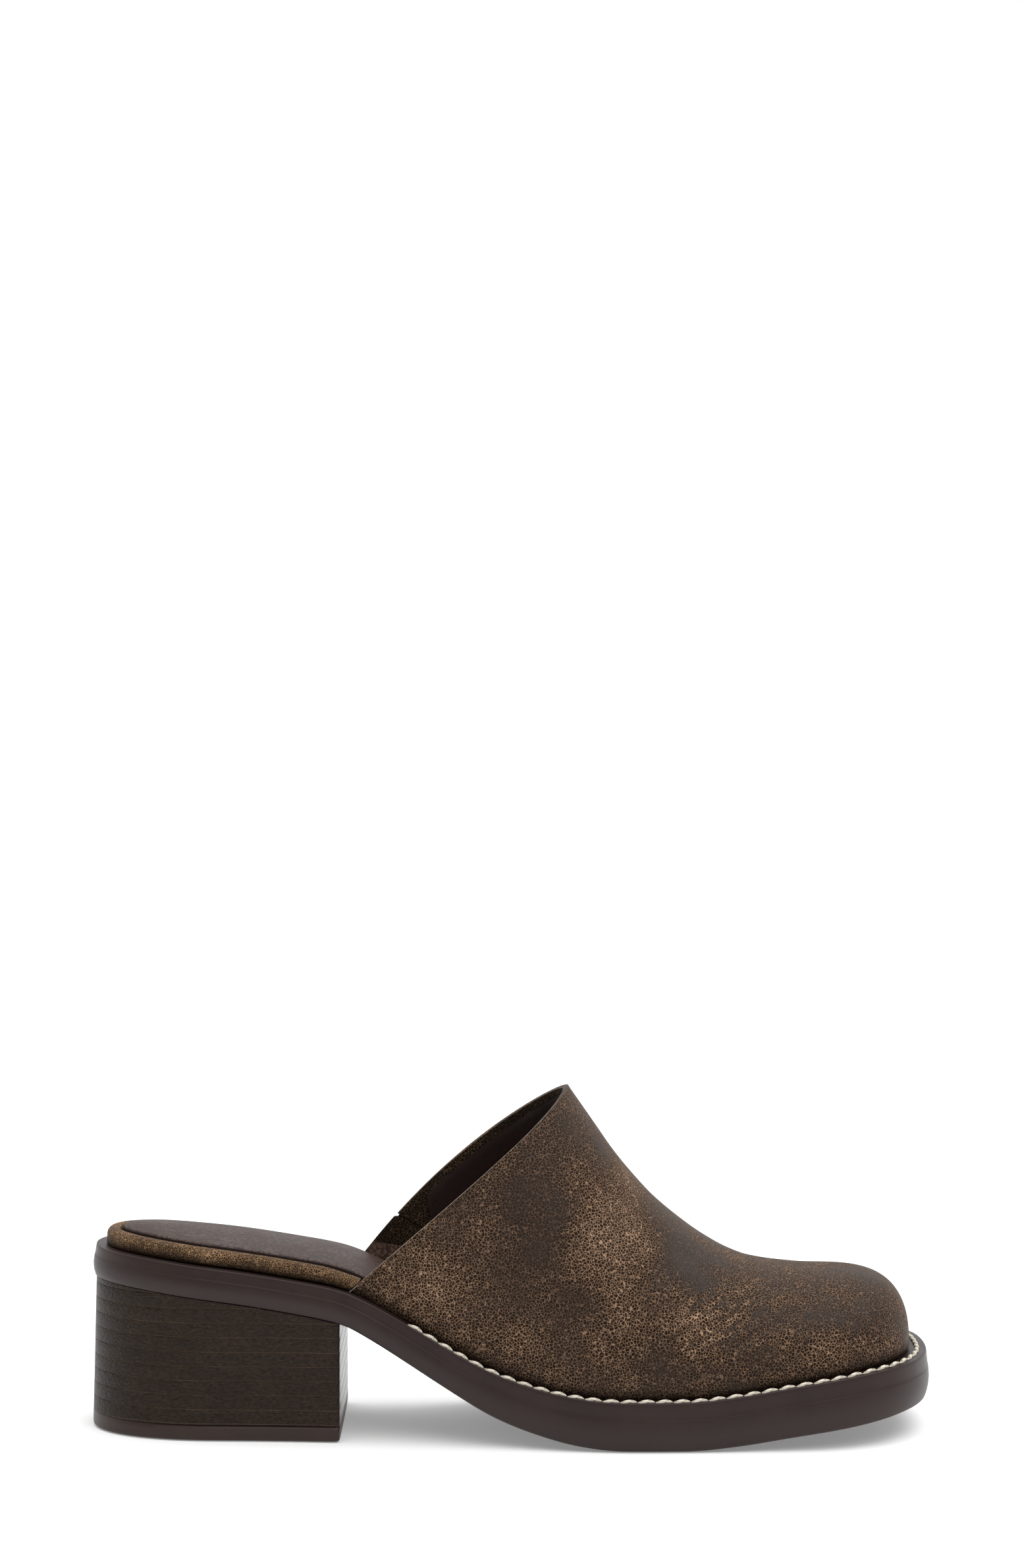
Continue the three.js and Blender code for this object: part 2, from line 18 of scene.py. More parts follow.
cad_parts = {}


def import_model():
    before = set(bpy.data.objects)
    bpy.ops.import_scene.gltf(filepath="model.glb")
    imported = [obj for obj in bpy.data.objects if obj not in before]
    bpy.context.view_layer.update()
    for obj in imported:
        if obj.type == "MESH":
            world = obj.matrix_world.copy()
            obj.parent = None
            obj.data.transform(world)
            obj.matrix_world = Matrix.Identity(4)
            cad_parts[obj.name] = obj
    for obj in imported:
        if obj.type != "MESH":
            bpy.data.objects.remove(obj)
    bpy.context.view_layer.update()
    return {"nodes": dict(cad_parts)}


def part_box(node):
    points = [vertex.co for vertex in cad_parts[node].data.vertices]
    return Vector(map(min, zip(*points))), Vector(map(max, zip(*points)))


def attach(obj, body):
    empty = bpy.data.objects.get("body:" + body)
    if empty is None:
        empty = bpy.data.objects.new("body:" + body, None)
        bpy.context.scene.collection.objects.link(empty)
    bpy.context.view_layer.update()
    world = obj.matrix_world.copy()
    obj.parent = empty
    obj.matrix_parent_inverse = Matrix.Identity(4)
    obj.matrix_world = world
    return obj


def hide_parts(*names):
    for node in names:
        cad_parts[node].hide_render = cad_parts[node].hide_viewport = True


LOG = logging.getLogger("clog")
MM = 0.001
TINY = 1e-9
BODY = "root"


class Side(Enum):
    """The two sides of the right shoe, and which way each lies along Y."""

    LATERAL = -1
    MEDIAL = 1


@dataclass(frozen=True)
class Table:
    """A smooth curve through a short table of rows, which never runs past them.

    Args:
        at: where the rows lie, rising.
        values: the curve's value at each row.
    """

    at: Sequence[float]
    values: Sequence[float]

    def read(self, share: np.ndarray) -> np.ndarray:
        """The curve's value.

        Args:
            share: where to read it.

        Returns:
            The values, one for each share.
        """
        at = np.array(self.at, float)
        value = np.array(self.values, float)
        slope = np.diff(value) / np.diff(at)
        tangent = np.zeros(len(at))
        tangent[0] = slope[0]
        tangent[-1] = slope[-1]
        before = slope[:-1]
        after = slope[1:]
        same_way = before * after > 0
        total = np.where(same_way, before + after, 1.0)
        tangent[1:-1] = np.where(same_way, 2 * before * after / total, 0.0)
        place = np.clip(share, at[0], at[-1])
        row = np.clip(np.searchsorted(at, place, side="right") - 1, 0, len(at) - 2)
        width = at[row + 1] - at[row]
        t = (place - at[row]) / width
        ease = t * t * (3 - 2 * t)
        bend = t * (1 - t) * ((1 - t) * tangent[row] - t * tangent[row + 1])
        return value[row] + (value[row + 1] - value[row]) * ease + width * bend


@dataclass(frozen=True)
class Inset:
    """How far a line stands in from the outsole's widest line."""

    heel: float
    side: float
    toe: float


def mix(start: Any, end: Any, share: Any) -> Any:
    """The value at a share of the way from start to end."""
    return start + (end - start) * share


def soft_step(low: float, high: float, value: Any) -> Any:
    """0 up to low, 1 from high on, and an easy slope between them."""
    t = np.clip((value - low) / (high - low), 0, 1)
    return t * t * (3 - 2 * t)


def rounded(t: np.ndarray, squareness: Any) -> np.ndarray:
    """1 along a body, falling to 0 at its end as a rounded corner."""
    return (1 - np.clip(t, 0, 1) ** squareness) ** (1 / squareness)


def unit(vectors: np.ndarray) -> np.ndarray:
    """Vectors that point the same way, each of length 1."""
    return vectors / np.maximum(np.linalg.norm(vectors, axis=-1, keepdims=True), TINY)


def first_pass(
    low: np.ndarray, high: np.ndarray, holds: Callable[[np.ndarray], Any], halvings: int = 34
) -> np.ndarray:
    """The place where a test stops holding, found by halving.

    Args:
        low: where it holds.
        high: where it doesn't.
        holds: the test, from a place to true or false.
        halvings: how often the space between them is halved.

    Returns:
        The place between them, one for each pair.
    """
    for _ in range(halvings):
        middle = (low + high) / 2
        held = holds(middle)
        low = np.where(held, middle, low)
        high = np.where(held, high, middle)
    return (low + high) / 2


@dataclass(frozen=True)
class SoleShape:
    """The sole unit's plan and its heights, with the same sizes as the solids."""

    length: float = 257.8
    ball_width: float = 93.4
    heel_width: float = 59.6
    seat_height: float = 46.6
    toe_spring: float = 10.2
    thickness: float = 14.6
    heel_rounding: float = 42.0
    toe_rounding: float = 43.0
    heel_squareness: float = 2.2
    lateral_toe_squareness: float = 2.45
    medial_toe_squareness: float = 2.75
    tip_offset: float = 1.0
    plan_at: Sequence[float] = (0, 0.16, 0.24, 0.34, 0.42, 0.5, 0.58, 0.65, 0.72, 0.84, 1.0)
    lateral_plan: Sequence[float] = (0, 0, 0.05, 0.2, 0.42, 0.68, 0.92, 1.0, 0.97, 0.86, 0.74)
    medial_plan: Sequence[float] = (0, 0, -0.03, -0.07, 0.02, 0.36, 0.74, 0.96, 1.04, 0.98, 0.9)
    sole_at: Sequence[float] = (
        0, 0.06, 0.13, 0.18, 0.24, 0.3, 0.34, 0.38, 0.43,
        0.48, 0.53, 0.58, 0.625, 0.705, 0.76, 0.83, 0.91, 1.0,
    )
    seat: Sequence[float] = (
        1.0, 0.97, 0.92, 0.884, 0.832, 0.765, 0.65, 0.515, 0.345,
        0.19, 0.09, 0.025, 0, 0, 0, 0, 0, 0,
    )
    spring: Sequence[float] = (0, 0, 0, 0, 0, 0, 0, 0, 0, 0, 0, 0, 0, 0, 0.12, 0.39, 0.67, 1.0)
    thick: Sequence[float] = (
        0.64, 0.65, 0.66, 0.665, 0.67, 0.69, 0.76, 0.81, 0.85,
        0.91, 0.95, 0.985, 1.0, 1.01, 1.02, 1.03, 1.04, 0.95,
    )

    def underside(self, x: np.ndarray) -> np.ndarray:
        """Height of the outsole's lower face.

        Args:
            x: where along the shoe.

        Returns:
            Z at each X.
        """
        share = x / self.length
        seat = self.seat_height * Table(self.sole_at, self.seat).read(share)
        return seat + self.toe_spring * Table(self.sole_at, self.spring).read(share)

    def top(self, x: np.ndarray) -> np.ndarray:
        """Height of the outsole's upper face."""
        thick = Table(self.sole_at, self.thick).read(x / self.length)
        return self.underside(x) + self.thickness * thick

    def outline(self, side: Side, x: np.ndarray, inset: Inset) -> np.ndarray:
        """Y of one side's line.

        Args:
            side: which side of the shoe.
            x: where along the shoe.
            inset: how far the line stands in from the widest one.

        Returns:
            Y at each X.
        """
        lateral = side is Side.LATERAL
        rows = self.lateral_plan if lateral else self.medial_plan
        squareness = self.lateral_toe_squareness if lateral else self.medial_toe_squareness
        along = self.length * (x - inset.heel) / (self.length - inset.toe - inset.heel)
        wide = Table(self.plan_at, rows).read(x / self.length)
        body = mix(self.heel_width, self.ball_width, wide) / 2 - inset.side
        heel = rounded(1 - along / self.heel_rounding, self.heel_squareness)
        toe_share = (along - (self.length - self.toe_rounding)) / self.toe_rounding
        centre = self.tip_offset * soft_step(-1, 1, toe_share)
        return mix(centre, side.value * body * heel, rounded(toe_share, squareness))


@dataclass(frozen=True)
class Crease:
    """A shallow flex line pressed into the vamp, seen from the side."""

    x: float
    z: float
    lean: float
    length: float
    width: float
    depth: float


@dataclass(frozen=True)
class LastShape:
    """The last over the foot: the vamp's outer face, its topline and its creases."""

    sole: SoleShape = field(default_factory=SoleShape)
    instep_height: float = 103.2
    toe_box_height: float = 47.4
    topline_start: float = 80.2
    topline_angle: float = 41.5
    medial_bow: float = 6.0
    ledge: Inset = Inset(4.2, 4.4, 6.4)
    toe_dome: float = 27.0
    dome_squareness: float = 3.1
    gap: float = 0.3
    tuck: float = 0.7
    tuck_height: float = 2.2
    last_at: Sequence[float] = (
        0.28, 0.4, 0.5, 0.565, 0.6, 0.623, 0.646, 0.67, 0.7, 0.73, 0.76, 0.785, 0.82, 0.86, 1.0,
    )
    rise: Sequence[float] = (
        2.9, 2.25, 1.5, 1.03, 0.794, 0.64, 0.509, 0.389, 0.27, 0.169, 0.09, 0.046, 0.018, 0.003, 0,
    )
    shift: Sequence[float] = (
        0, 0.012, 0.03, 0.036, 0.042, 0.047, 0.05, 0.05, 0.05, 0.05, 0.048, 0.046, 0.042, 0.038, 0.032,
    )
    squareness: Sequence[float] = (
        2.3, 2.2, 2.05, 2.0, 2.03, 2.07, 2.1, 2.15, 2.2, 2.25, 2.3, 2.35, 2.4, 2.45, 2.5,
    )
    creases: Sequence[Crease] = (
        Crease(x=181, z=32, lean=38, length=34, width=2.1, depth=0.34),
        Crease(x=188, z=33, lean=34, length=36, width=1.9, depth=0.42),
        Crease(x=195, z=35, lean=30, length=34, width=1.8, depth=0.38),
        Crease(x=201, z=33, lean=24, length=28, width=1.8, depth=0.30),
        Crease(x=207, z=36, lean=18, length=24, width=1.7, depth=0.24),
        Crease(x=173, z=38, lean=47, length=30, width=2.2, depth=0.24),
    )
    bow_skew: float = 0.85
    level_height: float = 5.0
    tip_margin: float = 0.02
    toe_closing: Sequence[float] = (0.4, 0.8, 1.0)
    crease_curve: float = 0.012
    crease_fade: float = 1.5
    crease_swell: float = 0.9
    crease_spread: float = 1.6

    @property
    def slope(self) -> float:
        """Slope of the topline's straight line."""
        return math.tan(math.radians(self.topline_angle))

    @property
    def tip(self) -> float:
        """X of the vamp's furthest point."""
        return self.sole.length - self.ledge.toe

    @property
    def topline_foot(self) -> float:
        """Height at which the topline meets the sole."""
        return float(self.sole.top(np.array(self.topline_start))) + self.gap

    def topline(self, x: np.ndarray, medial: np.ndarray) -> np.ndarray:
        """Height of the topline, seen from the side.

        Args:
            x: where along the shoe.
            medial: whether the place is on the medial side.

        Returns:
            Z at each X.
        """
        length = (self.instep_height - self.topline_foot) / self.slope
        t = np.clip((x - self.topline_start) / length, 0, 1)
        bow = np.where(medial, self.medial_bow * np.sin(np.pi * t**self.bow_skew), 0.0)
        return self.topline_foot + (x - self.topline_start) * self.slope + bow

    def section(self, x: np.ndarray) -> tuple[np.ndarray, ...]:
        """The last's section across the shoe.

        Args:
            x: where along the shoe.

        Returns:
            Its foot's height, its height over that, the ridge's Y, each side's Y and its squareness.
        """
        share = x / self.sole.length
        base = self.sole.top(x)
        rise = Table(self.last_at, self.rise).read(share)
        ridge_height = mix(self.toe_box_height, self.instep_height, rise)
        dome = rounded(1 - (self.tip - x) / self.toe_dome, self.dome_squareness)
        lateral = self.sole.outline(Side.LATERAL, x, self.ledge)
        medial = self.sole.outline(Side.MEDIAL, x, self.ledge)
        shift = self.sole.ball_width * Table(self.last_at, self.shift).read(share)
        ridge = np.clip(shift, lateral, medial)
        squareness = Table(self.last_at, self.squareness).read(share)
        return base, (ridge_height - base) * dome, ridge, lateral, medial, squareness

    def point(self, x: np.ndarray, angle: np.ndarray) -> np.ndarray:
        """Points of the outer face.

        Args:
            x: where along the shoe.
            angle: how far over the shoe, from 0 at the lateral foot to 180 at the medial one.

        Returns:
            The points, with X, Y and Z in their last axis.
        """
        base, height, ridge, lateral, medial, squareness = self.section(x)
        turn = np.radians(angle)
        away = np.abs(np.cos(turn)) ** (2 / squareness)
        up = np.abs(np.sin(turn)) ** (2 / squareness)
        y = mix(ridge, np.where(angle < 90, lateral, medial), away)
        return np.stack([x + 0 * y, y, base + height * up], axis=-1)

    def medial_y(self, x: np.ndarray, z: np.ndarray) -> np.ndarray:
        """Y of the medial face at a place seen from the side.

        Args:
            x: where along the shoe.
            z: how high over the floor.

        Returns:
            Y at each place.
        """
        base, height, ridge, _, medial, squareness = self.section(x)
        up = np.clip((z - base) / height, 0, 1)
        away = (1 - up**squareness) ** (1 / squareness)
        return mix(ridge, medial, away)

    def start(self, angle: np.ndarray, margin: Any) -> np.ndarray:
        """X at which the face begins.

        Args:
            angle: how far over the shoe.
            margin: how far inside the topline it begins.

        Returns:
            X at each angle.
        """
        medial = angle >= 90
        drop = margin / math.cos(math.radians(self.topline_angle))
        return first_pass(
            np.full(angle.shape, self.topline_start / 2),
            np.full(angle.shape, self.tip),
            lambda x: self.point(x, angle)[..., 2] > self.topline(x, medial) - drop,
        )

    def pressed(self, points: np.ndarray) -> np.ndarray:
        """How deep the creases press into the face.

        Args:
            points: points of the face.

        Returns:
            The depth at each point, with a low swell beside each crease.
        """
        depth = np.zeros(points.shape[:-1])
        for crease in self.creases:
            lean = math.radians(crease.lean)
            dx = points[..., 0] - crease.x
            dz = points[..., 2] - crease.z
            along = dx * math.cos(lean) + dz * math.sin(lean)
            bend = self.crease_curve * along**2
            across = dz * math.cos(lean) - dx * math.sin(lean) + bend
            window = np.clip(1 - (2 * along / crease.length) ** 2, 0, 1) ** self.crease_fade
            share = across / crease.width
            wave = (1 - self.crease_swell * share**2) * np.exp(-(share**2) / self.crease_spread)
            depth += crease.depth * window * wave
        return depth

    def face(
        self, rows: int, columns: int, starts: np.ndarray, depth: float, tucked: bool = True
    ) -> np.ndarray:
        """The face as a grid of points from the topline to the toe, closed at the toe's foot.

        Args:
            rows: spaces from the topline to the toe.
            columns: spaces from one foot over the shoe to the other.
            starts: X of the first row, one for each column line.
            depth: how far the grid lies below the outer face.
            tucked: whether the foot turns in where it meets the sole.

        Returns:
            The points, by row and column.
        """
        angles = np.linspace(0, 180, columns + 1)
        share = np.sin(np.linspace(0, np.pi / 2, rows + 1))[:, None]
        x = mix(starts[None, :], self.tip - self.tip_margin, share)
        points = self.point(x, np.broadcast_to(angles, x.shape))
        above = points[..., 2] - self.sole.top(points[..., 0])
        moved = np.full(above.shape, depth)
        if tucked:
            moved = moved + self.tuck * (1 - np.clip(above / self.tuck_height, 0, 1)) ** 2
        if depth == 0:
            moved = moved + self.pressed(points)
        points = points - self.normals(points, above) * moved[..., None]
        foot = (points[-1:, :1] + points[-1:, -1:]) / 2
        closing = (mix(points[-1:], foot, share) for share in self.toe_closing)
        return np.concatenate([points, *closing])

    def normals(self, points: np.ndarray, above: np.ndarray) -> np.ndarray:
        """Which way the face looks.

        Args:
            points: its grid of points.
            above: how high each lies over the sole.

        Returns:
            A vector of length 1 at each point, which turns level towards the foot.
        """
        along = np.gradient(points, axis=0)
        over = np.gradient(points, axis=1)
        normal = unit(np.cross(along, over))
        normal[-1] = (1, 0, 0)
        level = soft_step(0, self.level_height, above)[..., None]
        return unit(mix(unit(normal * (1, 1, 0)), normal, level))


@dataclass(frozen=True)
class WedgeShape:
    """The gusset's wedge, seen from the side: along the topline, and into the vamp."""

    last: LastShape = field(default_factory=LastShape)
    up: float = 9.9
    width: float = 11.3
    depth: float = 19.0
    lean: float = 10.3
    tip_radius: float = 1.3
    notch: float = 1.1
    tip_turns: Sequence[float] = tuple(range(15, 180, 15))

    @property
    def bottom(self) -> float:
        """How far into the vamp the seams' straight parts end."""
        return self.depth - self.tip_radius

    @property
    def tip_along(self) -> float:
        """How far along the topline the wedge's tip lies."""
        return self.up + self.width / 2 + self.lean

    def place(self, along: Any, into: Any) -> tuple[Any, Any]:
        """A place on the wedge, seen from the side.

        Args:
            along: how far along the topline.
            into: how far into the vamp.

        Returns:
            Its X and Z.
        """
        slope = math.radians(self.last.topline_angle)
        x = self.last.topline_start + along * math.cos(slope) + into * math.sin(slope)
        z = self.last.topline_foot + along * math.sin(slope) - into * math.cos(slope)
        return x, z

    def reading(self, x: Any, z: Any) -> tuple[Any, Any]:
        """A place read back from the side view.

        Args:
            x: its X.
            z: its Z.

        Returns:
            How far it lies along the topline and into the vamp.
        """
        slope = math.radians(self.last.topline_angle)
        dx = x - self.last.topline_start
        dz = z - self.last.topline_foot
        along = dx * math.cos(slope) + dz * math.sin(slope)
        return along, dx * math.sin(slope) - dz * math.cos(slope)

    def edges(self, into: Any, margin: float) -> tuple[Any, Any]:
        """Where the wedge's two seams lie along the topline.

        Args:
            into: how far into the vamp.
            margin: how much wider each side is taken.

        Returns:
            The lower seam and the upper one.
        """
        share = into / self.bottom
        radius = self.tip_radius + margin
        low = mix(self.up - margin, self.tip_along - radius, share)
        high = mix(self.up + self.width + margin, self.tip_along + radius, share)
        return low, high

    def outline(self, margin: float) -> list[tuple[float, float]]:
        """The wedge's outline, open past the topline.

        Args:
            margin: how much wider each side is taken.

        Returns:
            Its points of X and Z, in order.
        """
        past = -3 * self.last.medial_bow
        radius = self.tip_radius + margin
        round_end = []
        for turn in map(math.radians, self.tip_turns):
            along = self.tip_along + radius * math.cos(turn)
            round_end.append(self.place(along, self.bottom + radius * math.sin(turn)))
        low_top, high_top = self.edges(past, margin)
        low_end, high_end = self.edges(self.bottom, margin)
        start = [self.place(low_top, past), self.place(high_top, past)]
        ends = (self.place(high_end, self.bottom), self.place(low_end, self.bottom))
        return [*start, ends[0], *round_end, ends[1]]

    def topline_into(self, share: float, margin: float) -> float:
        """How far into the vamp the bowed topline lies.

        Args:
            share: where across the wedge's width.
            margin: how much wider each side is taken.

        Returns:
            The distance from the topline's straight line.
        """

        def over_topline(into: np.ndarray) -> np.ndarray:
            """Whether that place of the wedge lies over the topline."""
            x, z = self.place(mix(*self.edges(into, margin), share), into)
            return z > self.last.topline(x, np.array(True))

        bow = self.last.medial_bow
        return float(first_pass(np.array(-2 * bow), np.array(bow), over_topline, halvings=30))


class Place:
    """Turns the builder's millimetres to the frame's metres."""

    def __init__(self, sole: SoleShape, samples: int = 4000) -> None:
        """Finds where the frame's origin lies, from the outsole's own box.

        Args:
            sole: the sole's shape.
            samples: how many places along the shoe its widest one is looked for in.
        """
        low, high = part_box("outsole")
        xs = np.linspace(0, sole.length, samples)
        medial = sole.outline(Side.MEDIAL, xs, Inset(0, 0, 0)).max()
        self.x = -low.x / MM
        self.y = medial - high.y / MM

    def metres(self, points: np.ndarray) -> np.ndarray:
        """Points in the frame's metres."""
        return (np.asarray(points, float) - (self.x, self.y, 0.0)) * MM

    def millimetres(self, points: np.ndarray) -> np.ndarray:
        """Points in the builder's millimetres."""
        return np.asarray(points, float) / MM + (self.x, self.y, 0.0)


def linear(code: str) -> tuple[float, float, float, float]:
    """An sRGB hex colour as the linear one that a shader takes.

    Args:
        code: the colour, such as #1d140e.

    Returns:
        Its red, green, blue and a full alpha.
    """
    parts = [int(code[i : i + 2], 16) / 255 for i in (1, 3, 5)]
    tones = [p / 12.92 if p <= 0.04045 else ((p + 0.055) / 1.055) ** 2.4 for p in parts]
    return (tones[0], tones[1], tones[2], 1.0)


def per_mm(size: float) -> float:
    """The scale of a pattern whose real size is given in millimetres."""
    return 1 / (size * MM)


def span(low: float, high: float, start: float = 0.0, end: float = 1.0) -> dict[int, float]:
    """The sockets of a map range that takes low to start and high to end."""
    return {1: low, 2: high, 3: start, 4: end}


def put(
    tree: bpy.types.NodeTree, kind: str, sockets: dict[Any, Any] | None = None, **settings: Any
) -> bpy.types.Node:
    """Adds a node with its settings and links.

    Args:
        tree: where it goes.
        kind: its type, without the word ShaderNode.
        sockets: for each input, a value or the output that feeds it.
        settings: its properties; stops are a colour ramp's places and colours.

    Returns:
        The node.
    """
    node = tree.nodes.new("ShaderNode" + kind)
    for name, value in settings.items():
        if name == "stops":
            ramp = node.color_ramp.elements
            while len(ramp) < len(value):
                ramp.new(1.0)
            for stop, (at, colour) in zip(ramp, value):
                stop.position = at
                stop.color = colour
        else:
            setattr(node, name, value)
    for name, value in (sockets or {}).items():
        if isinstance(value, bpy.types.NodeSocket):
            tree.links.new(value, node.inputs[name])
        else:
            node.inputs[name].default_value = value
    return node


def new_material(name: str) -> tuple[bpy.types.Material, bpy.types.NodeTree, Any]:
    """An empty material with its object coordinates.

    Args:
        name: the material's name.

    Returns:
        The material, its tree and the output of object coordinates.
    """
    material = bpy.data.materials.new(name)
    material.use_nodes = True
    tree = material.node_tree
    tree.nodes.clear()
    return material, tree, put(tree, "TexCoord").outputs["Object"]


def jittered(
    tree: bpy.types.NodeTree, vector: bpy.types.NodeSocket, size: float, reach: float
) -> bpy.types.NodeSocket:
    """Pushes a vector about by noise, so that a pattern on it wanders.

    Args:
        tree: the material's tree.
        vector: the output to push.
        size: the noise's size, in millimetres.
        reach: how far it pushes, in millimetres.

    Returns:
        The pushed vector's output.
    """
    noise = put(tree, "TexNoise", {"Vector": vector, "Scale": per_mm(size), "Detail": 2.0})
    middle = {0: noise.outputs["Color"], 1: (0.5, 0.5, 0.5)}
    centred = put(tree, "VectorMath", middle, operation="SUBTRACT").outputs[0]
    push = {0: centred, "Scale": reach * MM}
    scaled = put(tree, "VectorMath", push, operation="SCALE").outputs[0]
    return put(tree, "VectorMath", {0: vector, 1: scaled}, operation="ADD").outputs[0]


@dataclass(frozen=True)
class CrackleLeather:
    """Crackle leather: a dark top coat that is tumbled until it breaks, so that a fine tan network
    shows, thick and bright where the hide was flexed and faint where it was polished smooth. The
    hide's own grain is too fine to show, so it is drawn coarser."""

    name: str = "crackle_leather"
    base: str = "#0f0602"
    polished: str = "#241810"
    network: str = "#6e5644"
    bright_network: str = "#b59479"
    # Painted shade: the colour the leather darkens to towards the sole.
    painted_foot_shade: str = "#120b07"
    cell: float = 0.9
    fine_share: float = 0.55
    vein: float = 0.08
    vein_core: float = 0.4
    fine_strength: float = 0.25
    wander: Sequence[float] = (2.4, 0.5)
    warp: Sequence[float] = (0.5, 0.18)
    cloud: float = 20.0
    cloud_reach: float = 0.4
    streak: float = 1.7
    streak_stretch: Sequence[float] = (0.16, 0.5, 1.0)
    gap: float = 0.7
    grain: float = 0.35
    relief: float = 0.12
    fold_relief: float = 4.0
    fullness: float = 0.0
    flex_lean: float = 33.0
    # How far the painted shade towards the sole darkens the leather.
    foot_shade_share: float = 0.8
    roughness: float = 0.5
    vein_roughness: float = 0.18
    least_sheen: float = 0.04
    sheen: float = 0.27
    ior: float = 1.48

    def build(self) -> bpy.types.Material:
        """The material.

        Returns:
            The finished material.
        """
        material, tree, coordinates = new_material(self.name)
        flexed = put(tree, "Attribute", attribute_name="flexed").outputs["Fac"]
        streaks = self.streaks(tree, coordinates)
        wear = self.wear(tree, coordinates, streaks, flexed)
        vein = self.veins(tree, coordinates, wear)
        polish = put(tree, "MapRange", {0: wear, **span(-0.7, 0.15, 1.0, 0.0)}).outputs[0]
        height = self.height(tree, coordinates, vein, streaks, flexed)
        rough = {0: vein, 3: self.roughness, 4: self.roughness + self.vein_roughness}
        gloss = {0: polish, 3: self.least_sheen, 4: self.sheen}
        bump = {"Height": height, "Strength": 0.3, "Distance": self.relief * MM}
        looks = {
            "Base Color": self.colour(tree, wear, polish, vein),
            "Roughness": put(tree, "MapRange", rough).outputs[0],
            "Specular IOR Level": put(tree, "MapRange", gloss).outputs[0],
            "Normal": put(tree, "Bump", bump).outputs[0],
            "IOR": self.ior,
        }
        put(tree, "OutputMaterial", {0: put(tree, "BsdfPrincipled", looks).outputs[0]})
        return material

    def streaks(self, tree: bpy.types.NodeTree, coordinates: Any) -> Any:
        """Fine streaks along the flex lines by the ball of the foot.

        Args:
            tree: the material's tree.
            coordinates: object coordinates.

        Returns:
            The streaks' output.
        """
        lean = (0, math.radians(self.flex_lean), 0)
        turned = put(tree, "Mapping", {"Vector": coordinates, "Rotation": lean}).outputs[0]
        drawn = put(tree, "Mapping", {"Vector": turned, "Scale": self.streak_stretch}).outputs[0]
        look = {"Vector": drawn, "Scale": per_mm(self.streak), "Detail": 2.0, "Distortion": 0.4}
        return put(tree, "TexNoise", look).outputs["Fac"]

    def wear(self, tree: bpy.types.NodeTree, coordinates: Any, streaks: Any, flexed: Any) -> Any:
        """How far the top coat is worn open: clouds, flex streaks and the vamp's own patches.

        Args:
            tree: the material's tree.
            coordinates: object coordinates.
            streaks: the streaks' output.
            flexed: the output that says where the leather flexes.

        Returns:
            The wear's output, below 0 where it is polished and above 0 where it is open.
        """
        look = {"Vector": coordinates, "Scale": per_mm(self.cloud), "Detail": 4.0, "Roughness": 0.6}
        clouds = put(tree, "TexNoise", look).outputs["Fac"]
        low, high = self.fullness - self.cloud_reach, self.fullness + self.cloud_reach
        centred = put(tree, "MapRange", {0: clouds, **span(0.32, 0.68, low, high)}).outputs[0]
        worn = put(tree, "Attribute", attribute_name="worn").outputs["Fac"]
        folds = put(tree, "MapRange", {0: streaks, **span(0.36, 0.64, -0.55, 0.65)}).outputs[0]
        flex = put(tree, "Math", {0: folds, 1: flexed, 2: worn}, operation="MULTIPLY_ADD")
        return put(tree, "Math", {0: centred, 1: flex.outputs[0]}, operation="ADD").outputs[0]

    def veins(self, tree: bpy.types.NodeTree, coordinates: Any, wear: Any) -> Any:
        """The network of veins, coarse and fine, broken here and there.

        Args:
            tree: the material's tree.
            coordinates: object coordinates.
            wear: the wear's output.

        Returns:
            The veins' output, 1 in the middle of a vein and 0 beside it.
        """
        warped = jittered(tree, jittered(tree, coordinates, *self.wander), *self.warp)
        layers = []
        for cell, strength in ((self.cell, 1.0), (self.fine_share * self.cell, self.fine_strength)):
            look = {"Vector": warped, "Scale": per_mm(cell)}
            away = put(tree, "TexVoronoi", look, feature="DISTANCE_TO_EDGE").outputs["Distance"]
            line = span(self.vein, self.vein_core * self.vein, 0.0, strength)
            layers.append(put(tree, "MapRange", {0: away, **line}).outputs[0])
        gaps = {"Vector": coordinates, "Scale": per_mm(self.gap), "Detail": 2.0}
        breaks = put(tree, "TexNoise", gaps).outputs["Fac"]
        wide = put(tree, "MapRange", {0: breaks, **span(0.34, 0.66, -0.25, 0.7)}).outputs[0]
        presence = put(tree, "Math", {0: wide, 1: wear}, operation="ADD").outputs[0]
        shown = put(tree, "MapRange", {0: presence, **span(-0.6, 0.75, 0.2, 1.0)}).outputs[0]
        both = put(tree, "Math", {0: layers[0], 1: layers[1]}, operation="MAXIMUM").outputs[0]
        return put(tree, "Math", {0: both, 1: shown}, operation="MULTIPLY").outputs[0]

    def colour(self, tree: bpy.types.NodeTree, wear: Any, polish: Any, vein: Any) -> Any:
        """The colour: the coat, the network over it, and painted shade that darkens it towards the sole.

        Args:
            tree: the material's tree.
            wear: the wear's output.
            polish: the output that is 1 where the coat is polished.
            vein: the veins' output.

        Returns:
            The colour's output.
        """
        coat = {0: polish, 6: linear(self.base), 7: linear(self.polished)}
        ground = put(tree, "Mix", coat, data_type="RGBA").outputs[2]
        bright = put(tree, "MapRange", {0: wear, 1: -0.5, 2: 0.9}).outputs[0]
        tans = {0: bright, 6: linear(self.network), 7: linear(self.bright_network)}
        tan = put(tree, "Mix", tans, data_type="RGBA").outputs[2]
        veined = put(tree, "Mix", {0: vein, 6: ground, 7: tan}, data_type="RGBA").outputs[2]
        # Painted shade: the colour darkens towards the sole, by the attribute that the vamp and the wrap
        # store.
        burnish = put(tree, "Attribute", attribute_name="burnish").outputs["Fac"]
        share = {0: burnish, 1: self.foot_shade_share}
        dark = put(tree, "Math", share, operation="MULTIPLY").outputs[0]
        foot = {0: dark, 6: veined, 7: linear(self.painted_foot_shade)}
        return put(tree, "Mix", foot, data_type="RGBA").outputs[2]

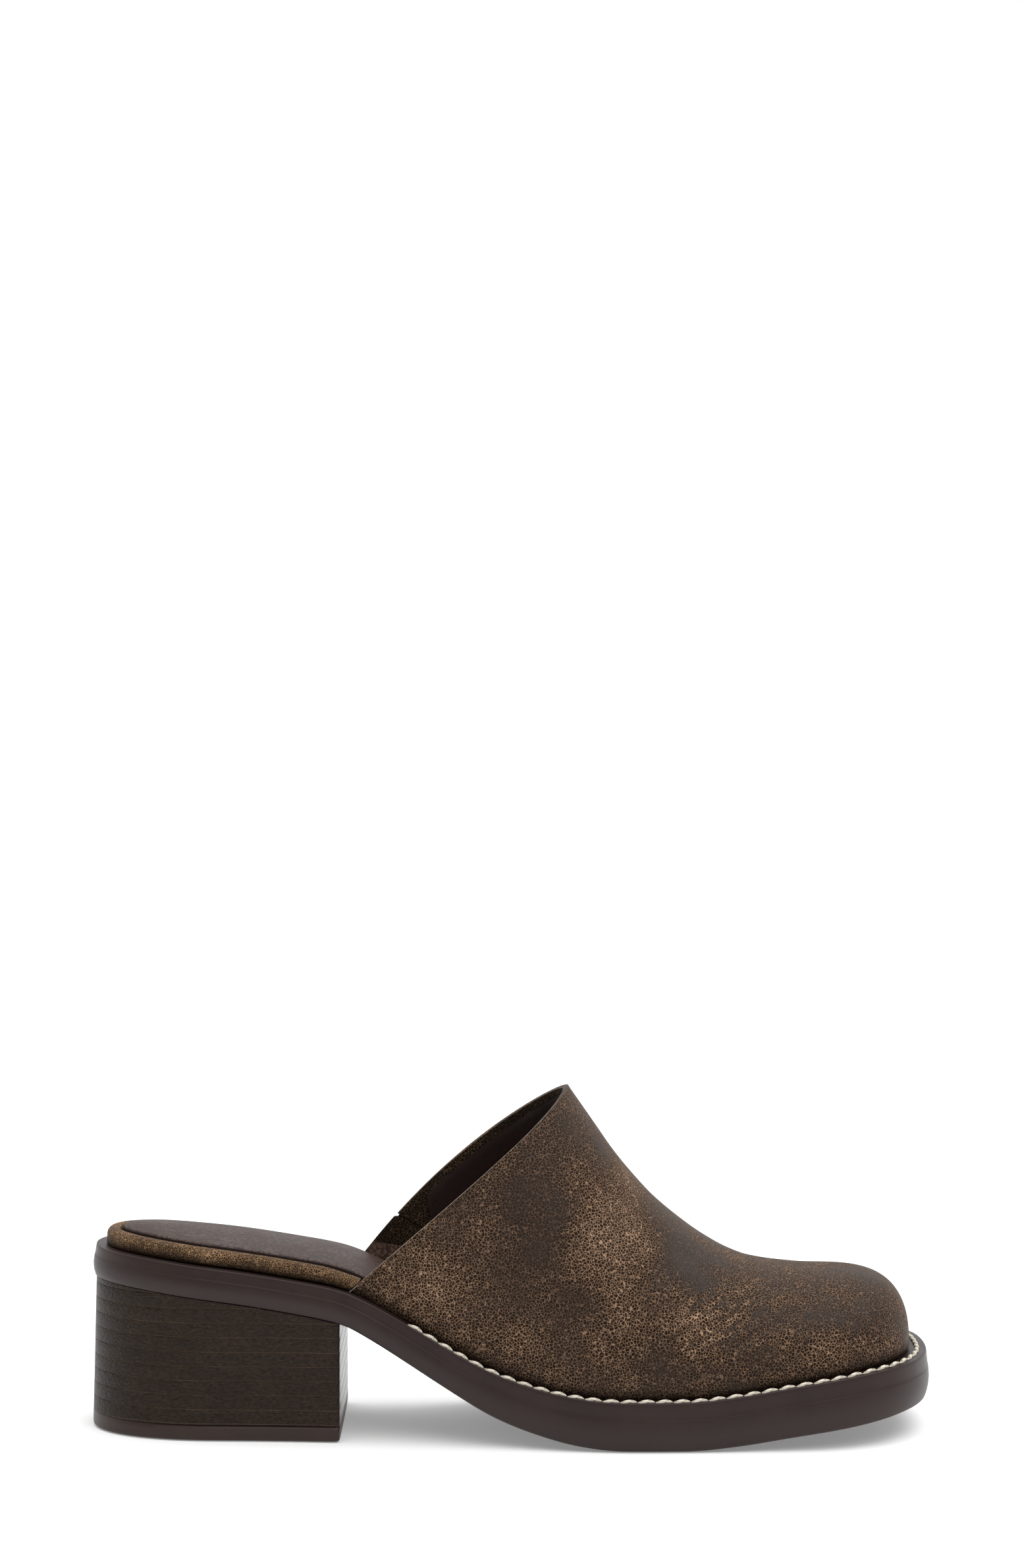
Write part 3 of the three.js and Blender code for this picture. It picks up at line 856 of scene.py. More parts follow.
    def height(
        self, tree: bpy.types.NodeTree, coordinates: Any, vein: Any, streaks: Any, flexed: Any
    ) -> Any:
        """The relief: sunk veins, the hide's grain and the folds where it flexes.

        Args:
            tree: the material's tree.
            coordinates: object coordinates.
            vein: the veins' output.
            streaks: the streaks' output.
            flexed: the output that says where the leather flexes.

        Returns:
            The relief's output.
        """
        sunk = put(tree, "Math", {0: vein, 1: -0.5}, operation="MULTIPLY").outputs[0]
        look = {"Vector": coordinates, "Scale": per_mm(self.grain), "Detail": 2.0}
        grain = put(tree, "TexNoise", look).outputs["Fac"]
        fine = put(tree, "Math", {0: sunk, 1: grain}, operation="ADD").outputs[0]
        fold = put(tree, "Math", {0: streaks, 1: flexed}, operation="MULTIPLY").outputs[0]
        whole = {0: fold, 1: self.fold_relief, 2: fine}
        return put(tree, "Math", whole, operation="MULTIPLY_ADD").outputs[0]


@dataclass(frozen=True)
class SmoothLeather:
    """Aniline sock or lining leather: a satin hide whose tight grain cracks into fine dark lines. Its
    pores are too fine to show, so they are drawn coarser."""

    name: str
    base: str
    lighter: str
    crack: str
    tone: float = 9.0
    cell: float = 2.2
    crack_width: float = 0.17
    crack_depth: float = 1.6
    wander: Sequence[float] = (1.6, 1.1)
    pore: float = 0.5
    relief: float = 0.12
    roughness: float = 0.5
    roughness_reach: float = 0.05
    specular: float = 0.2
    bump: float = 0.5
    ior: float = 1.48

    def build(self) -> bpy.types.Material:
        """The material.

        Returns:
            The finished material.
        """
        material, tree, coordinates = new_material(self.name)
        look = {"Vector": coordinates, "Scale": per_mm(self.tone), "Detail": 4.0, "Roughness": 0.6}
        tone = put(tree, "TexNoise", look).outputs["Fac"]
        spread = put(tree, "MapRange", {0: tone, 1: 0.35, 2: 0.65}).outputs[0]
        crack = self.cracks(tree, coordinates, tone)
        tones = {0: spread, 6: linear(self.base), 7: linear(self.lighter)}
        ground = put(tree, "Mix", tones, data_type="RGBA").outputs[2]
        lines = {0: crack, 6: ground, 7: linear(self.crack)}
        dull, shiny = self.roughness + self.roughness_reach, self.roughness - self.roughness_reach
        looks = {
            "Base Color": put(tree, "Mix", lines, data_type="RGBA").outputs[2],
            "Roughness": put(tree, "MapRange", {0: spread, 3: dull, 4: shiny}).outputs[0],
            "Normal": self.relieved(tree, coordinates, crack),
            "IOR": self.ior,
            "Specular IOR Level": self.specular,
        }
        put(tree, "OutputMaterial", {0: put(tree, "BsdfPrincipled", looks).outputs[0]})
        return material

    def cracks(self, tree: bpy.types.NodeTree, coordinates: Any, tone: Any) -> Any:
        """The grain's fine cracks, faint where the hide is dark.

        Args:
            tree: the material's tree.
            coordinates: object coordinates.
            tone: the output of the hide's cloudy tone.

        Returns:
            The cracks' output, 1 in the middle of a crack.
        """
        look = {"Vector": jittered(tree, coordinates, *self.wander), "Scale": per_mm(self.cell)}
        cells = put(tree, "TexVoronoi", look, feature="DISTANCE_TO_EDGE").outputs["Distance"]
        line = put(tree, "MapRange", {0: cells, 1: self.crack_width, 2: 0.0}).outputs[0]
        kept = put(tree, "MapRange", {0: tone, **span(0.38, 0.56, 0.3, 1.0)}).outputs[0]
        return put(tree, "Math", {0: line, 1: kept}, operation="MULTIPLY").outputs[0]

    def relieved(self, tree: bpy.types.NodeTree, coordinates: Any, crack: Any) -> Any:
        """The relief of the cracks and the pores.

        Args:
            tree: the material's tree.
            coordinates: object coordinates.
            crack: the cracks' output.

        Returns:
            The normal's output.
        """
        look = {"Vector": coordinates, "Scale": per_mm(self.pore)}
        grain = put(tree, "TexVoronoi", look, feature="F1").outputs["Distance"]
        sunk = {0: crack, 1: -self.crack_depth}
        low = put(tree, "Math", sunk, operation="MULTIPLY").outputs[0]
        pores = put(tree, "Math", {0: grain, 1: -0.5, 2: low}, operation="MULTIPLY_ADD").outputs[0]
        bump = {"Height": pores, "Strength": self.bump, "Distance": self.relief * MM}
        return put(tree, "Bump", bump).outputs[0]


@dataclass(frozen=True)
class MouldedRubber:
    """Moulded rubber: one even dark tone with the mould's faint mottle and a low satin gloss. The
    tread adds small diamond studs to faces that look at the floor. The mould's skin is too fine to
    show, so it is drawn coarser."""

    name: str
    base: str = "#2b201e"
    lighter: str = "#302421"
    mottle: float = 14.0
    skin: float = 0.4
    skin_height: float = 0.25
    relief: float = 0.15
    roughness: float = 0.4
    specular: float = 0.27
    stud: float = 0.0
    stud_height: float = 6.0
    ior: float = 1.5

    def build(self) -> bpy.types.Material:
        """The material.

        Returns:
            The finished material.
        """
        material, tree, coordinates = new_material(self.name)
        look = {"Vector": coordinates, "Scale": per_mm(self.mottle), "Detail": 5.0, "Roughness": 0.62}
        tone = put(tree, "TexNoise", look).outputs["Fac"]
        spread = put(tree, "MapRange", {0: tone, 1: 0.36, 2: 0.64}).outputs[0]
        tones = {0: spread, 6: linear(self.base), 7: linear(self.lighter)}
        shine = span(0.3, 0.7, self.roughness - 0.04, self.roughness + 0.05)
        bump = {
            "Height": self.height(tree, coordinates), "Strength": 0.3, "Distance": self.relief * MM,
        }
        looks = {
            "Base Color": put(tree, "Mix", tones, data_type="RGBA").outputs[2],
            "Roughness": put(tree, "MapRange", {0: tone, **shine}).outputs[0],
            "Normal": put(tree, "Bump", bump).outputs[0],
            "IOR": self.ior,
            "Specular IOR Level": self.specular,
        }
        put(tree, "OutputMaterial", {0: put(tree, "BsdfPrincipled", looks).outputs[0]})
        return material

    def height(self, tree: bpy.types.NodeTree, coordinates: Any) -> Any:
        """The relief: the mould's skin and, on the tread, rows of studs.

        Args:
            tree: the material's tree.
            coordinates: object coordinates.

        Returns:
            The relief's output.
        """
        look = {"Vector": coordinates, "Scale": per_mm(self.skin), "Detail": 3.0}
        skin = put(tree, "TexNoise", look).outputs["Fac"]
        height = put(tree, "Math", {0: skin, 1: self.skin_height}, operation="MULTIPLY").outputs[0]
        if not self.stud:
            return height
        parts = put(tree, "SeparateXYZ", {0: coordinates}).outputs
        turns = 2 * math.pi / (self.stud * MM)
        waves = []
        for operation in ("ADD", "SUBTRACT"):
            way = put(tree, "Math", {0: parts[0], 1: parts[1]}, operation=operation).outputs[0]
            phase = put(tree, "Math", {0: way, 1: turns}, operation="MULTIPLY").outputs[0]
            waves.append(put(tree, "Math", {0: phase}, operation="SINE").outputs[0])
        studs = put(tree, "Math", {0: waves[0], 1: waves[1]}, operation="MINIMUM").outputs[0]
        flat = span(-0.35, 0.05, 0.0, self.stud_height)
        top = put(tree, "MapRange", {0: studs, **flat}).outputs[0]
        return put(tree, "Math", {0: height, 1: top}, operation="ADD").outputs[0]


@dataclass(frozen=True)
class StackedLeather:
    """Stacked heel leather: lifts of stained hide pressed edge-on, so that short fibres run level and a
    thin paler line marks each glue joint. The fibres are too fine to show, so they are drawn coarser."""

    name: str = "stacked_leather"
    base: str = "#1d140e"
    fibre: str = "#33271d"
    joint: str = "#4d3f34"
    stretch: Sequence[float] = (0.45, 0.45, 1.0)
    fibre_size: float = 0.55
    tone_size: float = 5.5
    first_joint: float = 5.2
    lift: float = 4.35
    waver: float = 0.5
    joint_width: float = 0.36
    joint_core: float = 0.3
    joint_place: float = 0.06
    joint_depth: float = 0.8
    relief: float = 0.22
    roughness: float = 0.42
    specular: float = 0.17
    ior: float = 1.48

    def build(self) -> bpy.types.Material:
        """The material.

        Returns:
            The finished material.
        """
        material, tree, coordinates = new_material(self.name)
        stretched = put(tree, "Mapping", {"Vector": coordinates, "Scale": self.stretch}).outputs[0]
        look = {
            "Vector": stretched, "Scale": per_mm(self.fibre_size), "Detail": 3.0, "Distortion": 0.5,
        }
        fibre = put(tree, "TexNoise", look).outputs["Fac"]
        fibres = put(tree, "MapRange", {0: fibre, 1: 0.36, 2: 0.68}).outputs[0]
        cloud = {"Vector": stretched, "Scale": per_mm(self.tone_size), "Detail": 2.0}
        tone = put(tree, "TexNoise", cloud).outputs["Fac"]
        line = self.joints(tree, coordinates, tone)
        sunk = {0: line, 1: -self.joint_depth, 2: fibres}
        height = put(tree, "Math", sunk, operation="MULTIPLY_ADD").outputs[0]
        bump = {"Height": height, "Strength": 0.9, "Distance": self.relief * MM}
        looks = {
            "Base Color": self.colour(tree, fibres, tone, line),
            "Roughness": self.roughness,
            "Normal": put(tree, "Bump", bump).outputs[0],
            "IOR": self.ior,
            "Specular IOR Level": self.specular,
        }
        put(tree, "OutputMaterial", {0: put(tree, "BsdfPrincipled", looks).outputs[0]})
        return material

    def joints(self, tree: bpy.types.NodeTree, coordinates: Any, tone: Any) -> Any:
        """The level lines of the glue joints.

        Args:
            tree: the material's tree.
            coordinates: object coordinates.
            tone: the output of the cloudy tone, by which the lines waver.

        Returns:
            The lines' output, 1 in the middle of a joint.
        """
        level = put(tree, "SeparateXYZ", {0: coordinates}).outputs[2]
        first = {0: level, 1: self.first_joint * MM}
        up = put(tree, "Math", first, operation="SUBTRACT").outputs[0]
        wave = {0: tone, 1: self.waver * MM, 2: up}
        wavering = put(tree, "Math", wave, operation="MULTIPLY_ADD").outputs[0]
        lifts = {0: wavering, 1: per_mm(self.lift)}
        count = put(tree, "Math", lifts, operation="MULTIPLY").outputs[0]
        part = put(tree, "Math", {0: count}, operation="FRACT").outputs[0]
        edge = put(tree, "Math", {0: part, 1: self.joint_place}, operation="SUBTRACT").outputs[0]
        away = put(tree, "Math", {0: edge}, operation="ABSOLUTE").outputs[0]
        half = self.joint_width / self.lift / 2
        return put(tree, "MapRange", {0: away, 1: half, 2: half * self.joint_core}).outputs[0]

    def colour(self, tree: bpy.types.NodeTree, fibres: Any, tone: Any, line: Any) -> Any:
        """The colour: fibres on the stain, and the joints over them.

        Args:
            tree: the material's tree.
            fibres: the fibres' output.
            tone: the output of the cloudy tone.
            line: the joints' output.

        Returns:
            The colour's output.
        """
        tones = put(tree, "MapRange", {0: tone, **span(0.35, 0.65, 0.65, 1.0)}).outputs[0]
        share = put(tree, "Math", {0: fibres, 1: tones}, operation="MULTIPLY").outputs[0]
        stain = {0: share, 6: linear(self.base), 7: linear(self.fibre)}
        ground = put(tree, "Mix", stain, data_type="RGBA").outputs[2]
        seen = put(tree, "MapRange", {0: tone, **span(0.38, 0.62, 0.6, 1.0)}).outputs[0]
        joint = put(tree, "Math", {0: line, 1: seen}, operation="MULTIPLY").outputs[0]
        lines = {0: joint, 6: ground, 7: linear(self.joint)}
        return put(tree, "Mix", lines, data_type="RGBA").outputs[2]


@dataclass(frozen=True)
class BreastLacquer:
    """Lacquered heel breast: a sprayed pale coat over the stack's cut face, glossy at a low angle and
    speckled with open pores."""

    name: str = "lacquered_breast"
    base: str = "#4a4039"
    pore: str = "#15100c"
    pore_size: float = 0.8
    relief: float = 0.1
    roughness: float = 0.26
    ior: float = 1.5

    def build(self) -> bpy.types.Material:
        """The material.

        Returns:
            The finished material.
        """
        material, tree, coordinates = new_material(self.name)
        look = {"Vector": coordinates, "Scale": per_mm(self.pore_size)}
        dots = put(tree, "TexVoronoi", look, feature="F1").outputs["Distance"]
        pore = put(tree, "MapRange", {0: dots, 1: 0.34, 2: 0.2}).outputs[0]
        tones = {0: pore, 6: linear(self.base), 7: linear(self.pore)}
        low = put(tree, "Math", {0: pore, 1: -1.0}, operation="MULTIPLY").outputs[0]
        bump = {"Height": low, "Strength": 0.5, "Distance": self.relief * MM}
        looks = {
            "Base Color": put(tree, "Mix", tones, data_type="RGBA").outputs[2],
            "Roughness": self.roughness,
            "Normal": put(tree, "Bump", bump).outputs[0],
            "IOR": self.ior,
        }
        put(tree, "OutputMaterial", {0: put(tree, "BsdfPrincipled", looks).outputs[0]})
        return material


@dataclass(frozen=True)
class WaxedThread:
    """Waxed welt thread: two plies of ivory polyester, twisted, so that a slanting shade line crosses
    each stitch and the wax gives a soft shine."""

    name: str = "waxed_thread"
    base: str = "#e0d8c8"
    shade: str = "#85775f"
    shade_strength: float = 0.7
    ply: float = 2.8
    relief: float = 0.12
    roughness: float = 0.55
    ior: float = 1.46

    def build(self) -> bpy.types.Material:
        """The material.

        Returns:
            The finished material.
        """
        material, tree, _ = new_material(self.name)
        along = put(tree, "Attribute", attribute_name="thread_along").outputs["Fac"]
        around = put(tree, "Attribute", attribute_name="thread_around").outputs["Fac"]
        twist = {0: along, 1: 1 / self.ply, 2: around}
        slant = put(tree, "Math", twist, operation="MULTIPLY_ADD").outputs[0]
        turn = put(tree, "Math", {0: slant, 1: 2 * math.pi}, operation="MULTIPLY").outputs[0]
        wave = put(tree, "Math", {0: turn}, operation="SINE").outputs[0]
        groove = put(tree, "MapRange", {0: wave, **span(-1.0, -0.2, 1.0, 0.0)}).outputs[0]
        depth = {0: groove, 1: self.shade_strength}
        share = put(tree, "Math", depth, operation="MULTIPLY").outputs[0]
        tones = {0: share, 6: linear(self.base), 7: linear(self.shade)}
        low = put(tree, "Math", {0: groove, 1: -1.0}, operation="MULTIPLY").outputs[0]
        bump = {"Height": low, "Strength": 0.6, "Distance": self.relief * MM}
        looks = {
            "Base Color": put(tree, "Mix", tones, data_type="RGBA").outputs[2],
            "Roughness": self.roughness,
            "Normal": put(tree, "Bump", bump).outputs[0],
            "IOR": self.ior,
        }
        put(tree, "OutputMaterial", {0: put(tree, "BsdfPrincipled", looks).outputs[0]})
        return material


@dataclass(frozen=True)
class PaintedEdgeHighlight:
    """A pale finish for the bead along the topline's fold: its colour paints the highlight on the fold's
    edge.
    Its fibres are too fine to show, so they are drawn coarser."""

    name: str = "topline_painted_highlight"
    # Pale tones that paint the highlight on the topline's fold.
    base: str = "#8c7d6c"
    fibre: str = "#a99a88"
    fibre_size: float = 0.7
    relief: float = 0.1
    roughness: float = 0.4
    ior: float = 1.48

    def build(self) -> bpy.types.Material:
        """The material.

        Returns:
            The finished material.
        """
        material, tree, coordinates = new_material(self.name)
        look = {"Vector": coordinates, "Scale": per_mm(self.fibre_size), "Detail": 3.0}
        fibre = put(tree, "TexNoise", look).outputs["Fac"]
        share = put(tree, "MapRange", {0: fibre, 1: 0.4, 2: 0.65}).outputs[0]
        tones = {0: share, 6: linear(self.base), 7: linear(self.fibre)}
        bump = {"Height": fibre, "Strength": 0.3, "Distance": self.relief * MM}
        looks = {
            "Base Color": put(tree, "Mix", tones, data_type="RGBA").outputs[2],
            "Roughness": self.roughness,
            "Normal": put(tree, "Bump", bump).outputs[0],
            "IOR": self.ior,
        }
        put(tree, "OutputMaterial", {0: put(tree, "BsdfPrincipled", looks).outputs[0]})
        return material


def finish_of(look: Any) -> Any:
    """A dataclass field whose value is a finish's material, built when the class is."""
    return field(default_factory=look.build)


@dataclass(frozen=True)
class Finishes:
    """Every finish of the shoe, built once and in this order."""

    crackle: bpy.types.Material = finish_of(CrackleLeather())
    wrap: bpy.types.Material = finish_of(
        CrackleLeather(
            name="crackle_wrap", fullness=0.24, cell=0.62, vein=0.12, base="#140a04",
            network="#6e5236", bright_network="#bd9a78",
        )
    )
    # The facing: a darker, less glossy copy of the crackle leather for inner shells and cut faces, whose
    # darker coat and network paint the shade inside the shoe.
    facing: bpy.types.Material = finish_of(
        CrackleLeather(
            name="crackle_facing_painted_shade", fullness=-0.4, base="#110a06", polished="#1a130e",
            network="#5c4a38", bright_network="#7d6852", sheen=0.12,
        )
    )
    sock: bpy.types.Material = finish_of(
        SmoothLeather("sock_leather", base="#43322c", lighter="#503d36", crack="#1d1310")
    )
    tab: bpy.types.Material = finish_of(
        SmoothLeather("tab_leather", base="#5e493d", lighter="#6c564a", crack="#2a1c17", cell=1.6)
    )
    lining: bpy.types.Material = finish_of(
        SmoothLeather(
            "lining_leather", base="#211613", lighter="#2a1d19", crack="#100a08",
            crack_width=0.03, bump=0.15,
        )
    )
    rubber: bpy.types.Material = finish_of(MouldedRubber("outsole_rubber"))
    top_piece: bpy.types.Material = finish_of(
        MouldedRubber("top_piece_rubber", base="#30241f", lighter="#362924")
    )
    tread: bpy.types.Material = finish_of(MouldedRubber("tread_rubber", stud=4.2, roughness=0.55))
    stack: bpy.types.Material = finish_of(StackedLeather())
    breast: bpy.types.Material = finish_of(BreastLacquer())
    thread: bpy.types.Material = finish_of(WaxedThread())
    # The pale finish of the topline bead, a painted highlight.
    edge: bpy.types.Material = finish_of(PaintedEdgeHighlight())


def only(piece: bpy.types.Object) -> None:
    """Selects one object and makes it the active one.

    Args:
        piece: the object.
    """
    bpy.ops.object.select_all(action="DESELECT")
    piece.select_set(True)
    bpy.context.view_layer.objects.active = piece


def edit_all(piece: bpy.types.Object, operator: Callable[..., Any], **settings: Any) -> None:
    """Runs an edit-mode operator on the whole of a piece.

    Args:
        piece: the piece.
        operator: the operator.
        settings: its settings.
    """
    only(piece)
    bpy.ops.object.mode_set(mode="EDIT")
    bpy.ops.mesh.select_all(action="SELECT")
    operator(**settings)
    bpy.ops.object.mode_set(mode="OBJECT")


def apply(piece: bpy.types.Object, kind: str, **settings: Any) -> None:
    """Adds a modifier with its settings and applies it.

    Args:
        piece: the piece.
        kind: the modifier's type.
        settings: its settings.
    """
    only(piece)
    modifier = piece.modifiers.new(kind.lower(), kind)
    for name, value in settings.items():
        setattr(modifier, name, value)
    bpy.ops.object.modifier_apply(modifier=modifier.name)


def subdivide(piece: bpy.types.Object, levels: int) -> None:
    """Smooths a piece's form by subdivision."""
    apply(piece, "SUBSURF", levels=levels, render_levels=levels)


def round_edges(piece: bpy.types.Object, width: float, segments: int, angle: float = 60.0) -> None:
    """Rounds a piece's cut edges, by a width in millimetres where they turn by more than an angle."""
    look = {"width": width * MM, "segments": segments, "angle_limit": math.radians(angle)}
    apply(piece, "BEVEL", limit_method="ANGLE", **look)


def smooth(piece: bpy.types.Object, angle: float) -> None:
    """Shades a piece smooth, with edges sharper than an angle in degrees left crisp."""
    only(piece)
    bpy.ops.object.shade_smooth_by_angle(angle=math.radians(angle))


def points_of(piece: bpy.types.Object) -> np.ndarray:
    """The points of a piece's mesh.

    Args:
        piece: the piece.

    Returns:
        The points, in metres, one a row.
    """
    flat = np.empty(len(piece.data.vertices) * 3, np.float32)
    piece.data.vertices.foreach_get("co", flat)
    return flat.reshape(-1, 3).astype(float)


def move_points(piece: bpy.types.Object, points: np.ndarray) -> None:
    """Moves the points of a piece's mesh to new places, in metres."""
    piece.data.vertices.foreach_set("co", points.reshape(-1).astype(np.float32))
    piece.data.update()


def grid_piece(name: str, points: np.ndarray, outward: np.ndarray) -> bpy.types.Object:
    """A sheet shaped from a grid primitive.

    Args:
        name: the piece's name.
        points: where its points lie, in metres, by row and column.
        outward: a place that its faces look towards on the whole, in metres.

    Returns:
        The piece, with its doubled points merged and its faces looking out.
    """
    rows, columns = points.shape[:2]
    bpy.ops.mesh.primitive_grid_add(x_subdivisions=columns - 1, y_subdivisions=rows - 1, size=1)
    piece = bpy.context.active_object
    piece.name = name
    piece.data.name = name
    move_points(piece, points)
    edit_all(piece, bpy.ops.mesh.remove_doubles, threshold=1e-6)
    target = Vector(outward)
    facing = sum(face.normal.dot(target - face.center) * face.area for face in piece.data.polygons)
    if facing < 0:
        edit_all(piece, bpy.ops.mesh.flip_normals)
    return piece


def node_copy(nodes: dict[str, bpy.types.Object], node: str, name: str) -> bpy.types.Object:
    """A copy of a node's mesh, with its loose triangles merged and paired.

    Args:
        nodes: the frame's nodes.
        node: which to copy.
        name: the new piece's name.

    Returns:
        The copy, at the origin.
    """
    piece = bpy.data.objects.new(name, nodes[node].data.copy())
    piece.data.name = name
    piece.data.materials.clear()
    bpy.context.scene.collection.objects.link(piece)
    only(piece)
    bpy.ops.mesh.customdata_custom_splitnormals_clear()
    turn, skew = math.radians(50), math.radians(60)
    bpy.ops.object.mode_set(mode="EDIT")
    bpy.ops.mesh.select_all(action="SELECT")
    bpy.ops.mesh.remove_doubles(threshold=2e-6)
    bpy.ops.mesh.tris_convert_to_quads(face_threshold=turn, shape_threshold=skew)
    bpy.ops.object.mode_set(mode="OBJECT")
    return piece


def crease_edges(piece: bpy.types.Object, weigh: Callable[[bmesh.types.BMEdge], float]) -> None:
    """Gives edges between two faces the weight by which subdivision keeps them crisp.

    Args:
        piece: the piece.
        weigh: the weight for an edge, from 0 to 1.
    """
    edit = bmesh.new()
    edit.from_mesh(piece.data)
    layers = edit.edges.layers.float
    layer = layers.get("crease_edge") or layers.new("crease_edge")
    for edge in edit.edges:
        if len(edge.link_faces) == 2:
            edge[layer] = weigh(edge)
    edit.to_mesh(piece.data)
    edit.free()


def crisp(piece: bpy.types.Object, angle: float, weight: float) -> None:
    """Keeps edges sharper than an angle in degrees crisp under subdivision."""
    sharp = math.radians(angle)
    crease_edges(piece, lambda edge: weight if edge.calc_face_angle() > sharp else 0.0)


def dress(piece: bpy.types.Object, *materials: bpy.types.Material) -> None:
    """Gives a piece its materials, the first for every face.

    Args:
        piece: the piece.
        materials: the materials, by slot.
    """
    piece.data.materials.clear()
    for material in materials:
        piece.data.materials.append(material)


def paint_faces(
    piece: bpy.types.Object, slot: int, wanted: Callable[[bpy.types.MeshPolygon], bool]
) -> None:
    """Gives the faces that pass a test another of the piece's materials.

    Args:
        piece: the piece.
        slot: that material's slot.
        wanted: the test.
    """
    for face in piece.data.polygons:
        if wanted(face):
            face.material_index = slot


def give_attribute(piece: bpy.types.Object, name: str, values: np.ndarray) -> None:
    """Stores a number at each point of a piece, for its material."""
    layer = piece.data.attributes.new(name, "FLOAT", "POINT")
    layer.data.foreach_set("value", np.asarray(values, np.float32))


def settle(piece: bpy.types.Object, nodes: Iterable[str] = ()) -> None:
    """Sets a piece on the shoe's body.

    Args:
        piece: the finished piece.
        nodes: the nodes that it stands for.
    """
    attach(piece, BODY)
    if nodes:
        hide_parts(*nodes)
    triangles = sum(len(face.vertices) - 2 for face in piece.data.polygons)
    LOG.info("%s: %d triangles", piece.name, triangles)


@dataclass
class Outsole:
    """The rubber sole unit and the top piece under the heel."""

    nodes: dict[str, bpy.types.Object]
    finishes: Finishes
    place: Place
    sole: SoleShape = field(default_factory=SoleShape)
    smoothness: int = 2
    shading_angle: float = 30.0
    tread_facing: float = -0.8
    ring_reach: float = 0.004
    level_reach: float = 0.008
    edge_share: float = 0.05
    edge_reach: float = 1.2
    rim_closing: float = 0.3
    second_closing: float = 0.35
    second_lift: float = 0.65
    step_share: float = 0.34
    below_step_share: float = 0.36
    step_closing: float = 0.6
    lip_share: float = 0.96
    lip_end: float = 77.4
    lip_closing: float = 0.7
    toe_side_share: float = 0.84
    toe_start: float = 190.0
    toe_end: float = 232.0
    toe_reach: float = 3.5
    toe_squaring: float = 0.6
    flat_angle: float = 2.0
    ring_weights: Table = Table(
        at=(0, 0.05, 0.3, 0.34, 0.36, 0.5, 0.85, 0.96, 1.0),
        values=(0.9, 0.9, 0.9, 0.5, 0.4, 0, 0, 0.8, 0.95),
    )
    top_piece_angle: float = 28.0
    top_piece_crispness: float = 0.7

    def build(self) -> None:
        """Builds both rubber pieces."""
        moulding = node_copy(self.nodes, "outsole", "rubber_outsole")
        self.sharpen_edge(moulding)
        self.crease_rings(moulding)
        self.finish(moulding, self.finishes.rubber, "outsole")
        top_piece = node_copy(self.nodes, "heel_top_piece", "rubber_top_piece")
        crisp(top_piece, self.top_piece_angle, self.top_piece_crispness)
        self.finish(top_piece, self.finishes.top_piece, "heel_top_piece")

    def finish(self, piece: bpy.types.Object, side: bpy.types.Material, node: str) -> None:
        """Smooths a rubber piece and gives it its materials, with tread on its underside.

        Args:
            piece: the piece.
            side: its side's material.
            node: the node that it stands for.
        """
        subdivide(piece, self.smoothness)
        dress(piece, side, self.finishes.tread)
        paint_faces(piece, 1, lambda face: face.normal.z < self.tread_facing)
        smooth(piece, self.shading_angle)
        settle(piece, [node])

    def down_share(self, points: np.ndarray) -> np.ndarray:
        """How far down the sole's side points lie: 0 at its top edge, 1 at its underside."""
        top = self.sole.top(points[:, 0])
        return (top - points[:, 2]) / (top - self.sole.underside(points[:, 0]))

    def sharpen_edge(self, piece: bpy.types.Object) -> None:
        """Sharpens the top edge, softens the step and squares the lower edge at seat and toe.

        Args:
            piece: the sole unit, before it is smoothed.
        """
        points = self.place.millimetres(points_of(piece))
        down = self.down_share(points)
        moved = points.copy()

        def close(ring: np.ndarray, other: np.ndarray, share: Any) -> None:
            """Moves one ring's points part of the way to another ring, in plan."""
            moved[ring, :2] = mix(points[ring, :2], self.nearest(points, ring, other), share)

        second = self.ring(down, self.edge_share)
        rim = self.near(points, self.ring(down, 0.0), second, self.edge_reach)
        close(rim, second, self.rim_closing)
        close(second, rim, self.second_closing)
        top = self.sole.top(points[second, 0])
        moved[second, 2] = mix(points[second, 2], top, self.second_lift)
        step = self.ring(down, self.step_share)
        close(step, self.ring(down, self.below_step_share), self.step_closing)
        foot = self.ring(down, 1.0)
        corner = self.ring(down, self.lip_share)
        lip = self.near(points, foot[points[foot, 0] < self.lip_end], corner, self.edge_reach)
        close(lip, corner, self.lip_closing)
        for ring, above in ((foot, corner), (corner, self.ring(down, self.toe_side_share))):
            toe = self.near(points, ring[points[ring, 0] > self.toe_start], above, self.toe_reach)
            eased = soft_step(self.toe_start, self.toe_end, points[toe, :1])
            close(toe, above, self.toe_squaring * eased)
        move_points(piece, self.place.metres(moved))

    def ring(self, down: np.ndarray, share: float) -> np.ndarray:
        """Which points lie at a share of the way down the side."""
        return np.flatnonzero(np.abs(down - share) < self.ring_reach)

    def nearest(self, points: np.ndarray, ring: np.ndarray, other: np.ndarray) -> np.ndarray:
        """For each point of one ring, the nearest point of another, in plan."""
        gaps = np.linalg.norm(points[ring][:, None, :2] - points[other][None, :, :2], axis=2)
        return points[other[np.argmin(gaps, axis=1)], :2]

    def near(
        self, points: np.ndarray, ring: np.ndarray, other: np.ndarray, reach: float
    ) -> np.ndarray:
        """Those points of one ring that lie within reach of another, in plan."""
        gaps = np.linalg.norm(points[ring, :2] - self.nearest(points, ring, other), axis=1)
        return ring[gaps < reach]

    def crease_rings(self, piece: bpy.types.Object) -> None:
        """Keeps the level lines of the side as crisp as their own weights say.

        Args:
            piece: the sole unit, before it is smoothed.
        """
        down = self.down_share(self.place.millimetres(points_of(piece)))

